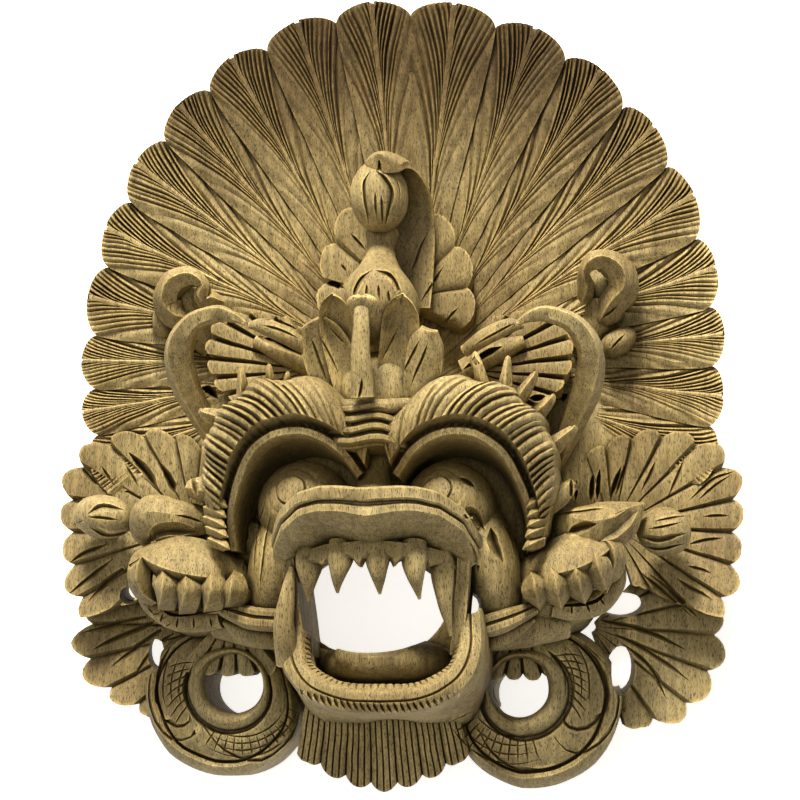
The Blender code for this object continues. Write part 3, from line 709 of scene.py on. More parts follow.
def upper_lip():
    """The plate of the upper lip: a bright double band over a smooth underside."""

    def section(side):
        share = abs(side)
        top = np.interp(share, (0, 0.2, 0.45, 0.65, 0.85, 1), (-60, -59, -58.5, -60, -66, -77))
        fall = np.interp(share, (0, 0.8, 1), (22, 18, 13))
        dip = 1.5 * math.exp(-((share / 0.25) ** 2))
        band = [(-34, top + 1), (-14, top + 2.6), (-5, top + 2.4), (-1, top + 1.8), (0, top + 0.8)]
        band += [(0.2, top - 3.6), (-0.4, top - 4.4), (-2.4, top - 4.8), (-2.4, top - 5.6)]
        under = [(-0.6, -6.2), (-0.4, -9.2), (-1.6, -10.4), (-6, -13.5)]
        band += [(forward, top + low - dip) for forward, low in under]
        return [*band, (-11, top - 0.84 * fall), (-16, top - fall), (-34, top - fall)]

    return [moved(visor(LIP_HALF, LIP_BACK_Z, LIP_FRONT_Z, section), LIP_X)]


# Each tooth: its middle, its half width and how far its arch in the gum reaches up
TOOTH_ROOTS = ((-30, 8.0), (-14, 7.4), (3, 7.6), (19, 7.4), (31, 6))


def gum():
    """The gum, with a scalloped arch over each tooth."""

    def section(side):
        share = abs(side)
        top = -80 - 5 * share**2
        x = 40 * side
        arch = max(0.0, max(1 - ((x - middle) / half) ** 2 for middle, half in TOOTH_ROOTS))
        low = top - 11 + 4.5 * math.sqrt(arch)
        front = [(1, top), (2.2, top - 3), (2.4, low + 1.4), (1.2, low)]
        return [(-32, top), (-6, top), *front, (-4, low - 0.6), (-32, low)]

    return [moved(visor(40, 96, 134, section, steps=97), LIP_X)]


def tooth(x, top, length, half_width, z, lean=0.0):
    """A pointed tooth that hangs from the gum and curves back a little, with a flat front."""
    path = [
        (x, top + 4, z - 3, half_width * 0.96),
        (x + lean * 0.1, top - length * 0.2, z, half_width),
        (x + lean * 0.4, top - length * 0.55, z + 1, half_width * 0.66),
        (x + lean * 0.8, top - length * 0.85, z - 1, half_width * 0.3),
        (x + lean, top - length, z - 3, 0.7),
    ]
    return bar(path, steps=14, around=16, flat=0.75)


def teeth():
    shapes = [
        tooth(-30, -84, 22, 6.5, 120, -1),
        tooth(-14, -84, 19, 6, 131, -2),
        tooth(3, -84, 20, 6, 133, 1),
        tooth(19, -84, 22, 6, 130, 3),
        tooth(31, -86, 36, 5.5, 119, 4),
        bar([(-39, -90, 116, 1.5), (-41, -102, 117, 3.5), (-43, -118, 115, 5), (-42, -134, 108, 6)]),
    ]
    return [moved(shape, LIP_X) for shape in shapes]


def mouth_corners():
    """The web of wood between the lip's end and the jaw on each side."""
    edge = smooth_path([(45, -76, 118), (43, -100, 113), (40, -130, 108)], 12)
    depth = np.array([[0, 0, 0], [-0.4, 0, -12], [-0.8, 0, -28], [-1, 0, -44]])
    front = edge[:, None] + depth
    return pair(sheet(front, front - np.array([6.0, 0, 0])), LIP_X)


JAW_PATH = ((39, -108, 106), (40, -126, 112), (35, -140, 118), (20, -149, 123), (0, -151, 125))
JAW_STROKES = 44
STROKE_WIDTH = 0.25


def lower_jaw():
    """The U of the lower jaw, with short slanted strokes along its outer band."""
    whole = [*JAW_PATH, *[(-x, y, z) for x, y, z in reversed(JAW_PATH[:-1])]]
    line = along_path(whole, cut_places(JAW_STROKES, STROKE_WIDTH) / JAW_STROKES)

    def section(share):
        middle = math.sin(math.pi * share)
        low = -60 - 10 * middle
        stroke = 1.2 * float(cut(share * JAW_STROKES, STROKE_WIDTH))
        out = 5.5 + middle
        lip = [(-9, low), (-8.6, -16), (-8, -3), (-6.8, -0.6), (-3, 1), (-2.2, -0.2), (-1.4, 1.2), (1, 1.5)]
        lip += [(2.6, 0.8), (3.6, -0.8 - stroke * 0.5)]
        band = [(out - 0.6 - stroke, -3.4), (out - 0.2 - stroke, -6.5), (out - 0.6, -9.5)]
        band += [(out - 1.4, -10.5), (out - 0.2, -11.5), (out - 0.8, -26)]
        return [*lip, *band, (4, low)]

    jaw = sweep(line, section)
    floor = ovoid((0, -134, 70), (34, 15, 46), around=32, rows=12)
    tongue = ovoid((0, -131, 106), (19, 9, 8), around=24, rows=12)
    return [moved(jaw, JAW_X), moved(floor, JAW_X), moved(tongue, JAW_X - 4)]


# Sections (towards the fan, out of the face) for a radius of 1, and bands through the photo's pixels
CHEEK_SECTION = ((1.0, -1.0), (1.0, 0.0), (0.55, 0.5), (0.0, 0.85), (-0.45, 0.95), (-0.62, 0.7))
CHEEK_SECTION += ((-1.0, -0.2), (-1.0, -1.0))
BAND_SECTION = ((0.9, -1.0), (0.9, 0.3), (0.6, 0.6), (0.25, 0.55), (0.15, 0.3), (0.0, 0.35))
BAND_SECTION += ((-0.1, 0.8), (-0.6, 0.75), (-0.95, 0.2), (-0.9, -1.0))
EAR_SECTION = ((1.0, -0.9), (1.0, 0.1), (0.75, 0.5), (0.2, 0.75), (-0.5, 0.55), (-1.0, 0.1), (-1.0, -0.9))
LEFT_JOWL_BAND = ((143, 588, 78, 4.5), (152, 604, 76, 5), (170, 617, 76, 5.5))
LEFT_JOWL_BAND += ((195, 622, 78, 5.5), (222, 618, 80, 5))
RIGHT_JOWL_BAND = ((617, 566, 78, 4), (615, 583, 76, 5), (600, 601, 76, 6))
RIGHT_JOWL_BAND += ((577, 609, 78, 6), (552, 607, 80, 5))
LEFT_CORNER = ((297, 620, 94, 5.5), (272, 620, 93, 6.0), (248, 617, 90, 6.0), (222, 608, 84, 3.5))
RIGHT_CORNER = ((458, 629, 94, 4), (480, 627, 93, 5.5), (504, 621, 90, 6.0), (534, 608, 84, 3.5))
LEFT_LENS = ((224, 622, 82, 1), (244, 633, 84, 5), (266, 639, 84, 5), (288, 640, 82, 1))
RIGHT_LENS = ((472, 643, 82, 1), (492, 641, 84, 4), (514, 632, 84, 4), (534, 620, 82, 1))
# The curled edge of the cheek: each finger's top and tip
FINGERS = (((236, 576), (233, 603)), ((215, 573), (212, 606)), ((190, 571), (187, 607)))
FINGERS += (((167, 568), (166, 603)), ((532, 576), (538, 601)), ((552, 570), (559, 600)))
FINGERS += (((573, 562), (582, 595)), ((593, 551), (603, 584)))
LEFT_CHEEK = ((240, 575, 76, 8), (212, 568, 86, 12), (184, 563, 90, 13))
LEFT_CHEEK += ((162, 557, 90, 10), (150, 551, 84, 5))
RIGHT_CHEEK = ((528, 574, 76, 8), (554, 566, 86, 12), (578, 558, 90, 13))
RIGHT_CHEEK += ((598, 549, 88, 9), (606, 542, 82, 4))
LEFT_CURLED = ((158, 553, 86, 4), (144, 560, 90, 5.5), (139, 576, 91, 5.5))
LEFT_CURLED += ((144, 592, 88, 5), (155, 601, 83, 3))
RIGHT_CURLED = ((592, 541, 86, 4), (606, 542, 90, 5), (614, 555, 91, 5.5))
RIGHT_CURLED += ((613, 570, 88, 5), (607, 580, 83, 3))


def both_ways(left, right, section, steps=25):
    """Bars of one section along a path on the left and one on the right, which run opposite ways."""
    turned_over = [(-side, up) for side, up in reversed(section)]
    return [faceted(traced(left), section, steps), faceted(traced(right), turned_over, steps)]


def jowls():
    """The curled cheek on each side and the bands to the mouth's corner."""
    shapes = both_ways(LEFT_CHEEK, RIGHT_CHEEK, CHEEK_SECTION)
    shapes += [faceted(traced(path), TIP_SECTION, 17) for path in (LEFT_CURLED, RIGHT_CURLED)]
    for high, low in FINGERS:
        above, below = (tuple(np.array(high) + share * (np.array(low) - high)) for share in (0.4, 0.75))
        finger = [(*high, 90, 3.5), (*above, 97, 6.4), (*below, 94, 6.4), (*low, 84, 5.6)]
        shapes.append(faceted(traced(finger), TIP_SECTION, 13))
    shapes += [bar(traced(path), 25, 16) for path in (LEFT_JOWL_BAND, RIGHT_JOWL_BAND)]
    shapes += [bar(traced(path), flat=0.7) for path in (LEFT_LENS, RIGHT_LENS)]
    shapes += both_ways(LEFT_CORNER, RIGHT_CORNER, BAND_SECTION)
    under = pair(ovoid((84, -100, 45), (27, 20, 40), around=26, rows=15), JOWL_X)
    behind = pair(bar([(46, -118, 78, 9), (66, -116, 74, 9), (86, -112, 68, 8)], 13, 14), JAW_X)
    return [*shapes, *under, *behind]


def beard():
    """The fluted beard under the chin."""
    lobes = [(-90 + 3.75 * k, 206 - 1.9 * abs(k) ** 1.6) for k in range(-3, 4)]
    thick = thickness(BEARD_THICKNESS)
    flutes = palmette((0, 10), 138, lobes, lambda x, y: 62 + 0.3 * (y + 160), thick, 2, 0.018, 3, 1.4)
    return [moved(flutes, BEARD_X)]


HORN_SECTION = ((1.0, -0.9), (1.05, 0.15), (0.5, 0.95), (-0.7, 0.6), (-1.0, 0.15), (-0.9, -0.9))


def horns():
    path = [(80, -36, 62, 3), (89, -17, 76, 5.5), (97, 1, 90, 6.8), (98, 15, 100, 6.2)]
    path += [(90, 26, 107, 4.6), (78, 30, 110, 3.6), (70, 28.5, 111, 2.6), (64, 25, 111, 0.9)]
    return pair(faceted(path, HORN_SECTION, 41), HORN_X)


HORN_LOBES = ((58, 30), (45, 40), (33, 49), (22, 54), (11, 54), (0, 52))
HORN_LOBES += ((-11, 49), (-22, 43), (-34, 36), (-48, 30))


def horn_leaves():
    """The leaf inside each horn and the petal over it."""
    plate = {"crown": 2.4, "notch": 0.05, "vein": 2.4, "rounds": 3}
    leaf = palmette((37, 12), 4, HORN_LOBES, lambda x, y: 73 + 0.1 * (x - 37), 28, **plate)
    petal = bar([(37, 18, 86, 3.0), (48, 24, 91, 4.2), (59, 28.5, 93, 3.8), (66, 29, 92, 1.5)], flat=0.7)
    web = bar([(36, 12, 72, 6), (52, 20, 76, 6), (66, 25, 78, 3)], 13, 12)
    return [*pair(leaf, HORN_X), *pair(petal, HORN_X), *pair(web, HORN_X)]


# The curls behind the horns, through the photo's pixels
CURL_STALK = ((92, 30, 50, 8), (103, 40, 56, 9), (105, 50, 58, 9))
LEFT_CURL = ((222, 303, 64, 3), (211, 300, 68, 5), (201, 297, 72, 4), (203, 284, 75, 3))
LEFT_CURL += ((190, 276, 76, 4.5), (172, 282, 76, 5.5), (165, 298, 73, 6), (172, 312, 68, 7))
LEFT_CURL += ((186, 320, 62, 6),)
RIGHT_CURL = ((584, 300, 64, 4), (586, 288, 70, 4), (584, 272, 76, 3), (593, 261, 80, 4.5))
RIGHT_CURL += ((606, 260, 79, 5), (620, 270, 76, 7), (623, 288, 72, 7.5), (612, 304, 68, 7))
RIGHT_CURL += ((604, 318, 62, 6),)
LEFT_BACKINGS = (((186, 300, 58), (11, 10, 10), 0), ((163, 322, 58), (5, 8, 7), 0))
RIGHT_BACKINGS = (((603, 288, 56), (10, 12, 10), 0), ((611, 313, 62), (6, 9, 8), -50))
RIGHT_BACKINGS += (((618, 342, 60), (6.5, 10, 7), -60),)


def curls():
    shapes = pair(bar(CURL_STALK, 13, 16), HORN_X)
    for path, backings in ((LEFT_CURL, LEFT_BACKINGS), (RIGHT_CURL, RIGHT_BACKINGS)):
        shapes.append(faceted(traced(path), TIP_SECTION, 33))
        shapes += [ovoid(spot(*place), radii, tilt) for place, radii, tilt in backings]
    return shapes


# The ears and the plugs in them, through the photo's pixels
LEFT_EAR = ((214, 519, 78, 5), (196, 520, 84, 8), (174, 521, 88, 10.5), (153, 520, 88, 11.5))
LEFT_EAR += ((144, 533, 84, 7), (146, 546, 80, 1.5))
RIGHT_EAR = ((556, 520, 76, 6), (578, 526, 84, 10), (600, 529, 88, 13), (619, 521, 87, 10.5))
RIGHT_EAR += ((634, 511, 84, 5.5), (644, 504, 82, 1))
RIGHT_EAR_CORNER = ((600, 535, 84, 8), (607, 546, 82, 6), (614, 556, 80, 1.5))
PLUGS = (((104, 517, 72), (11, 14.5, 11), 84), ((664, 532, 72), (12, 13.5, 11), 80))


def ears():
    roots = pair(bar([(70, -72, 60, 12), (92, -68, 66, 11), (110, -62, 64, 8)], 13, 18), EAR_X)
    lobes = both_ways(LEFT_EAR, RIGHT_EAR, EAR_SECTION, 29)
    corner = bar(traced(RIGHT_EAR_CORNER), 13)
    plugs = [ovoid(spot(*place), radii, tilt, around=32, rows=18) for place, radii, tilt in PLUGS]
    return [*roots, *lobes, corner, *plugs]


# The crest over the brow


def crest():
    wings = [(-8, 38), (26, 40), (58, 45), (92, 46), (124, 50), (154, 43), (182, 41)]
    behind = {"crown": 2, "notch": 0.12, "rounds": 5, "seam": 0.1, "lap": 0.8}
    backing = palmette((6, 50), 8, wings, lambda x, y: 64 + 0.14 * (y - 54), 22, **behind)
    cap = [(9, 44, 70, 13), (10, 66, 71, 14), (11, 84, 75, 13.5), (10, 95, 83, 12.5), (7, 101, 93, 11)]
    cap += [(4, 101, 102, 10), (2, 97, 108, 9)]
    bud = ovoid((0, 90, 95), (14, 17, 15), around=40, rows=20)
    bulb = [(0, 76, 84, 8), (0, 66, 88, 6.5), (0, 56, 92, 10), (0, 42, 95, 19), (0, 24, 97, 18)]
    heart = ovoid((0, 36, 108), (13, 18, 11), around=32, rows=16)
    left, right = (-15, -17, 104, 9), (18, -17, 104, 7)
    inner_left = [(-7, -17, 106, 8), (-12, 2, 109, 9.5), (-16, 18, 114, 9), (-19, 35, 123, 7.5)]
    inner_right = [(6, -17, 106, 8), (10, 2, 109, 9.5), (12, 18, 114, 9), (14, 35, 123, 7.5)]
    leaves = [
        hood([left, (-19, 0, 107, 12), (-23, 14, 112, 11.5), (-28, 24, 117, 6)], 8, cup=3),
        hood([right, (22, -2, 110, 8.5), (24, 13, 116, 8), (26, 20, 119, 4)], 8, cup=-3),
        hood(inner_left, 1.6, cup=4, tip=0.78),
        hood(inner_right, 1.6, cup=4, tip=0.78),
        hood([(-3.5, 22, 123, 2.5), (-3.5, 27, 127, 6.5), (-3.5, 33, 131, 10.5)], 1.6, cup=-2.5, tip=0.45),
    ]
    stem = [(-3.5, 30, 127, 3.6), (-3.8, 20, 130, 3.8), (-3.8, 2, 130, 4.8), (-3.5, -13, 127, 5.6)]
    base = ovoid((0, -6, 92), (24, 22, 20), around=24, rows=12)
    sill = [(-20, -13, 108, 4), (-10, -15.5, 118, 3.6), (4, -15.5, 119, 3.6), (20, -13, 108, 4)]
    shapes = [backing, hood(cap, 3, (1, 2, 4, 6), steps=27, tip=0.85), bud, bar(bulb, 25, 28), heart]
    shapes += [*leaves, bar(stem, 21, 18, flat=0.8), base, bar(sill, 21, 12)]
    return [*[moved(shape, CREST_X) for shape in shapes], moved(collar(), CREST_X - 3)]


# One ridge of the collar: shares of its pitch down from its upper edge, and heights over its top
COLLAR_SECTION = ((0.15, 0.4), (0.45, 0.4), (0.6, -0.6), (0.66, -4), (0.9, -4))


def collar(ridges=4, pitch=5.0):
    """The ribbed band over the nose, under the stem."""
    rings = []
    for x in np.linspace(-19, 19, 33):
        top = 125 - 14 * (x / 19) ** 2
        sway = 0.9 * math.sin(x / 4.2)
        points = [(x, -14 + sway, 60), (x, -14 + sway, top - 3)]
        for k in range(ridges):
            y = -15 - pitch * k + sway
            points += [(x, y + 0.2, top - 0.8)]
            points += [(x, y - down * pitch, top + rise) for down, rise in COLLAR_SECTION]
        rings.append([*points, (x, -16 - pitch * ridges + sway, 60)])
    return closed_rings(np.array(rings, float))


def nose():
    bridge = bar([(0, -20, 84, 13), (0, -40, 92, 8), (0, -54, 102, 9), (0, -66, 110, 15)], 21, 24)
    return [moved(bridge, CREST_X - 2)]


# Openings cut right through, and the recess behind the face


def shaft(levels, around=40):
    """An upright oval shaft through levels (x, y, z, half width, half height)."""
    angles = circle(around)
    rings = []
    for x, y, z, wide, tall in levels:
        outline = [x + wide * np.cos(angles), y + tall * np.sin(angles), np.full(around, z)]
        rings.append(np.stack(outline, axis=1))
    return closed_rings(np.array(rings))


# Gaps right through between the leaves: x, y, half width and half height, on the plane z = GAP_Z
GAPS = ((110, -101, 11, 6.5), (109, -134, 7, 12), (-141, -94, 4, 4.5), (-129, -126, 4, 8))
GAP_Z = 40
RING_CLEARANCE = 0.7


def gap(x, y, wide, tall):
    """A shaft along the line of sight, so that it shows as open."""
    places = [(x + VIEW_SLOPE[0] * (z - GAP_Z), y + VIEW_SLOPE[1] * (z - GAP_Z), z) for z in (-10, 66)]
    return shaft([(*place, wide, tall) for place in places], around=20)


def cutters():
    recess = ovoid((-14, -84, 0), (62, 66, thickness(BACK_RECESS_DEPTH)), around=36, rows=18)
    mouth = shaft([(-21, -97, -20, 40, 32), (-18, -101, 30, 37, 28), (-9, -108, 130, 36, 22)])
    right = bar([(38, -108, 140, 5), (34, -104, 80, 6), (24, -98, -10, 7)], 9)
    left = bar([(-54, -108, 140, 5), (-50, -104, 80, 6), (-44, -98, -10, 7)], 9)
    clear = RING_HOLE - RING_CLEARANCE
    rings = [shaft([(*ring, z, clear, clear) for z in (-10, 90)]) for ring in (LEFT_RING, RIGHT_RING)]
    return [recess, mouth, right, left, *rings, *[gap(*each) for each in GAPS]]


# Cuts of the gouge across the carving, as the photo shows them.
# Each is a half width and a depth in units, and then the pixels that it runs through, across and down.

CUT_LIFT = 1.5

BUD_CUTS = (
    (1.0, 2.0, 369.6, 171.5, 364, 182.6, 364.8, 200, 368.8, 224),
    (1.8, 3.0, 376, 170.7, 385.5, 179.4, 392, 195, 385.5, 224),
    (0.8, 1.4, 375, 190, 375.5, 204, 376.5, 218), (0.8, 1.4, 381, 194, 382.5, 210, 382.5, 225),
    (0.5, 0.7, 395, 176, 400, 190, 399, 206),
)
BULB_CUTS = (
    (1.2, 2.4, 371, 270, 361, 279, 355, 290, 353.6, 300),
    (2.0, 3.2, 376, 270, 390, 275, 398, 287, 401, 304), (0.8, 1.5, 367, 284, 366, 299),
    (0.8, 1.5, 378, 284, 379, 299), (0.8, 1.5, 388, 290, 390, 304),
)
BACKING_CUTS = (
    (0.8, 1.3, 427, 233, 419, 252, 411, 272), (0.9, 1.5, 444, 266, 432, 284, 419, 305),
    (0.9, 1.5, 459, 307, 450, 317, 440, 329), (0.9, 1.6, 350, 233, 358, 242, 366, 251),
    (0.8, 1.4, 341, 264, 347, 272), (1.4, 6, 326, 283, 336, 284, 345, 289),
)
CALYX_CUTS = (
    (0.8, 1.4, 310.6, 337, 318, 358, 328, 384), (0.8, 1.3, 318, 333, 328, 352, 338, 372),
    (0.7, 1.0, 330, 328, 338, 336, 346, 344), (0.7, 1.1, 397, 331, 390, 344, 382, 360),
    (0.9, 1.5, 419, 340, 411, 356, 402, 376), (0.9, 1.5, 428, 342, 421, 362, 411, 386),
    (0.9, 2.0, 358, 400, 361, 390, 362, 378),
)
HORN_CUTS = (
    (2.6, 9, 203, 387, 210, 391, 218, 399), (1.8, 8, 529, 398, 537, 398, 545, 396),
    (1.8, 8, 555, 401, 561, 398, 568, 394), (2.6, 9, 258, 336, 278, 342, 307, 357),
    (0.9, 1.6, 262, 325, 280, 330, 299, 339), (0.8, 1.4, 264, 319, 283, 323, 302, 332),
    (2.0, 8, 502, 346, 484, 355, 463, 369), (0.8, 1.4, 474, 345, 498, 332, 520, 320),
    (0.8, 1.5, 603, 318, 611, 312, 618, 305), (0.8, 1.5, 610, 350, 618, 342, 625, 334),
)
LEFT_LEAF_CUTS = (
    (2.4, 5, 129, 452, 146, 472, 158, 490), (2.0, 5, 161, 464, 170, 480, 175, 493),
    (1.6, 4, 192, 476, 197, 495), (1.2, 2.0, 73, 457, 89, 476, 107, 493),
    (0.9, 1.4, 101, 465, 114, 486), (0.9, 1.4, 126, 465, 138, 486),
    (0.9, 1.4, 69, 499, 77, 499, 86, 497), (0.8, 1.2, 73, 525, 84, 520),
    (1.3, 2.0, 68, 564, 87, 552, 108, 544), (1.4, 2.2, 67, 596, 90, 577, 114, 558),
    (1.4, 2.2, 88, 602, 109, 580, 140, 558), (1.2, 1.8, 80, 633, 120, 623, 160, 613),
    (1.4, 2.2, 92, 650, 126, 634, 168, 616), (1.4, 2.2, 110, 668, 140, 645, 172, 622),
    (1.3, 2.0, 133, 680, 153, 650, 178, 630),
)
RIGHT_LEAF_CUTS = (
    (1.0, 6, 571, 478, 572, 500), (0.9, 6, 576, 479, 576, 501), (1.4, 6, 593, 474, 591, 501),
    (1.2, 6, 600, 469, 597, 500), (1.4, 5, 621, 467, 616, 482, 611, 498), (0.9, 3, 626, 463, 616, 496),
    (1.1, 1.7, 655, 461, 649, 476, 641, 492), (1.1, 1.7, 684, 459, 677, 477, 669, 496),
    (1.0, 1.9, 734, 471, 712, 480, 688, 501), (0.9, 1.6, 730, 475, 713, 487, 698, 500),
    (1.0, 1.6, 729, 516, 716, 516, 703, 517), (1.2, 1.8, 723, 538, 705, 540, 687, 545),
    (1.1, 1.7, 711, 573, 700, 569, 687, 566), (1.2, 1.8, 713, 600, 695, 590, 676, 578),
    (1.2, 2.0, 639, 572, 662, 590, 692, 616), (1.0, 1.6, 648, 573, 676, 595, 700, 620),
    (1.3, 2.2, 591, 618, 644, 630, 686, 650), (1.3, 2.2, 614, 633, 654, 655, 690, 681),
    (1.3, 2.2, 620, 642, 650, 667, 666, 698),
)
EAR_CUTS = (
    (3.6, 5, 148, 541, 160, 533, 178, 531, 196, 532), (0.8, 1.6, 175, 515, 190, 518, 208, 525),
    (2.0, 2.6, 88, 514, 103, 506, 124, 510), (1.0, 1.8, 87, 517, 103, 518, 118, 520),
    (1.8, 2.4, 90, 528, 110, 536, 132, 531), (2.6, 5, 566, 534, 580, 527, 597, 524),
    (4.5, 3.4, 600, 541, 620, 527, 638, 511), (0.8, 1.6, 556, 514, 580, 511, 606, 509),
    (0.8, 1.6, 655, 521, 670, 518, 686, 515), (0.8, 1.6, 648, 529, 664, 526, 682, 522),
    (1.8, 2.4, 640, 537, 660, 540, 686, 533), (1.0, 2.0, 644, 547, 662, 549, 684, 544),
)
JOWL_CUTS = (
    (0.9, 5, 158, 609, 180, 615, 224, 610), (0.9, 5, 611, 584, 592, 603, 545, 606),
    (0.6, 1.4, 148, 608, 153, 614), (0.6, 1.4, 163, 613, 160, 623), (0.6, 1.4, 178, 617, 176, 628),
    (0.6, 1.4, 194, 618, 194, 629), (0.6, 1.4, 210, 617, 212, 627), (0.6, 1.4, 599, 597, 605, 605),
    (0.6, 1.4, 586, 603, 590, 613), (0.6, 1.4, 571, 605, 572, 615),
)
CHEEK_CUTS = (
    (0.8, 1.5, 265, 500, 258, 530, 253, 575), (0.8, 1.5, 271, 515, 265, 545, 260, 590),
    (0.8, 1.4, 250, 510, 246, 545, 243, 585), (3.0, 4, 464, 520, 474, 514, 484, 530),
    (2.6, 5, 490, 528, 495, 545, 503, 562), (1.2, 2, 505, 525, 512, 540, 516, 556),
    (1.3, 3, 459, 477, 467, 481, 474, 487), (0.9, 1.6, 470, 540, 476, 556, 478, 575),
)
VOLUTE_CUTS = (
    (1.2, 2.2, 181, 631, 163, 660, 158, 690, 163, 715, 177, 727, 189, 722, 189, 713),
    (0.9, 1.6, 172, 640, 153, 668, 149, 696, 155, 722, 172, 739, 191, 737, 202, 722),
    (0.9, 1.8, 203, 725, 225, 751, 262, 760, 292, 735, 302, 700),
    (1.2, 2.2, 572, 636, 597, 660, 607, 695, 596, 722, 577, 730, 564, 722, 566, 712),
    (0.9, 1.6, 580, 640, 608, 668, 619, 700, 610, 732, 586, 752, 566, 750, 553, 735),
    (0.9, 1.8, 472, 716, 490, 750, 520, 770, 556, 766, 577, 757),
)
ALL_CUTS = (*BUD_CUTS, *BULB_CUTS, *BACKING_CUTS, *CALYX_CUTS, *HORN_CUTS, *LEFT_LEAF_CUTS)
ALL_CUTS += (*RIGHT_LEAF_CUTS, *EAR_CUTS, *JOWL_CUTS, *CHEEK_CUTS)
# The middles of the scrolls' hatching, and its cuts' half width and depth
LEFT_HATCHING = (241, 689)
RIGHT_HATCHING = (516, 688)
HATCH_SIZE = (0.55, 1.0)
CHIN_SIZE = (0.9, 1.6)


def strokes(rows):
    """Cuts as (pixels, half width, depth), from rows of half width, depth and then the pixels' numbers."""
    return [(list(zip(row[2::2], row[3::2])), row[0], row[1]) for row in rows]


def hatching(middle, low, high, first, last, lines, arcs, skew=0.0):
    """Crossed cuts over part of a ring about a middle: lines out from it, and arcs round it."""
    cuts = []
    for angle in np.linspace(first, last, lines):
        places = ((low, 0), ((low + high) / 2, 0.5), (high, 1))
        points = [pixel_around(middle, radius, angle + skew * share) for radius, share in places]
        cuts.append((points, *HATCH_SIZE))
    for radius in np.linspace(low, high, arcs):
        points = [pixel_around(middle, radius, angle) for angle in np.linspace(first, last, 7)]
        cuts.append((points, *HATCH_SIZE))
    return cuts


def chin_cuts():
    """The row of slanting strokes along the chin."""
    cuts = []
    for across in np.linspace(300, 460, 25):
        top = 703 - 14 * ((across - 382) / 82) ** 2
        cuts.append((((across, top), (across + 2, top + 5), (across + 5, top + 10)), *CHIN_SIZE))
    return cuts


def scroll_cuts():
    """The hatched bands of the two scrolls, and the volute at the outer side of each."""
    cuts = hatching(LEFT_HATCHING, 48, 68, -22, -122, 13, 4)
    cuts += hatching(RIGHT_HATCHING, 48, 76, -72, -152, 11, 4)
    cuts += hatching(LEFT_HATCHING, 54, 78, 150, 196, 7, 4, 14)
    cuts += hatching(RIGHT_HATCHING, 50, 74, 40, -12, 8, 4, -14)
    return cuts + strokes(VOLUTE_CUTS)


def surface_of(mesh):
    """The carving's surface in units, for rays from the viewer."""
    points = [Vector(point.co) / UNIT + Vector(ORIGIN) for point in mesh.vertices]
    return BVHTree.FromPolygons(points, [tuple(face.vertices) for face in mesh.polygons])


def gouged(surface, points, wide, deep, steps=13):
    """The solid of one V cut, laid on the surface where the viewer sees it and tapering at both ends."""
    line = true_places(smooth_path([spot(*point, MIDDLE_Z) for point in points], steps))
    rays = unit_rows(line - VIEW_EYE)
    reach = np.array([surface.ray_cast(Vector(VIEW_EYE), Vector(ray))[3] or np.nan for ray in rays], float)
    reach = np.where(np.isnan(reach), np.nanmedian(reach), reach)
    beside = np.pad(reach, 1, mode="edge")
    reach = np.median([beside[:-2], reach, beside[2:]], axis=0)
    middle = VIEW_EYE + rays * reach[:, None]
    side = unit_rows(np.cross(np.gradient(line, axis=0), rays))
    taper = np.interp(np.linspace(0, 1, steps), (0, 0.3, 0.7, 1), (0.1, 1, 1, 0.1))[:, None]
    spread = side * wide * taper * (1 + CUT_LIFT / (deep * taper))
    above = middle - rays * CUT_LIFT
    rings = np.stack([middle + rays * deep * taper, above + spread, above - spread], axis=1)
    return closed_rings(rings)


# The wood: its colours as stops (place, colour), its tints, and lengths in metres

LIGHT_WOOD = ((0.3, (0.28, 0.19, 0.072)), (0.48, (0.41, 0.30, 0.118)), (0.68, (0.54, 0.41, 0.18)))
# Painted shade: the groove and recess tints darken the wood where the carving closes in round a point
GROOVE_SHADE_TINT = (0.24, 0.21, 0.13)
RECESS_SHADE_TINT = (0.55, 0.54, 0.42)
# Painted highlight on convex edges, partly wear of the edges
EDGE_WEAR_AND_HIGHLIGHT_TINT = (1.7, 1.66, 1.56)
# A brown stain with painted shade on the fan's top
STAIN_AND_SHADE_TINT = (0.36, 0.31, 0.24)
# Reaches of the painted shade in grooves and in recesses
GROOVE_SHADE_REACH = 0.004
RECESS_SHADE_REACH = 0.035
# Reach of the painted highlight on edges, partly edge wear
EDGE_WEAR_AND_HIGHLIGHT_REACH = 0.0016
# The brown stain and painted shade lie on the fan's top alone: up the mask from the first Y to the second,
# and under the first Z
STAIN_AND_SHADE_Y = (0.07, 0.17)
STAIN_AND_SHADE_Z = (0.084, 0.092)
DENT_DEPTH = 0.0012
GRAIN_DEPTH = 0.0007


def node_of(tree, kind, **settings):
    """A shader node with its settings and the values of its named inputs."""
    node = tree.nodes.new(kind)
    for name, value in settings.items():
        if name in node.bl_rna.properties:
            setattr(node, name, value)
        else:
            node.inputs[name.replace("_", " ")].default_value = value
    return node


def ramp_of(tree, source, *stops):
    """A colour ramp on a source socket, through stops (place, colour)."""
    ramp = tree.nodes.new("ShaderNodeValToRGB")
    ramp.color_ramp.elements.remove(ramp.color_ramp.elements[1])
    first = ramp.color_ramp.elements[0]
    first.position, first.color = stops[0][0], (*stops[0][1], 1)
    for place, colour in stops[1:]:
        ramp.color_ramp.elements.new(place).color = (*colour, 1)
    tree.links.new(source, ramp.inputs[0])
    return ramp.outputs["Color"]


def mix_of(tree, kind, factor, one, two):
    """Two colours mixed by a factor, a number or a socket."""
    mix = tree.nodes.new("ShaderNodeMix")
    mix.data_type = "RGBA"
    mix.blend_type = kind
    for socket, value in ((mix.inputs[0], factor), (mix.inputs[6], one), (mix.inputs[7], two)):
        if isinstance(value, bpy.types.NodeSocket):
            tree.links.new(value, socket)
        else:
            socket.default_value = value if isinstance(value, (int, float)) else (*value, 1)
    return mix.outputs[2]


def grey(value):
    return (value, value, value)


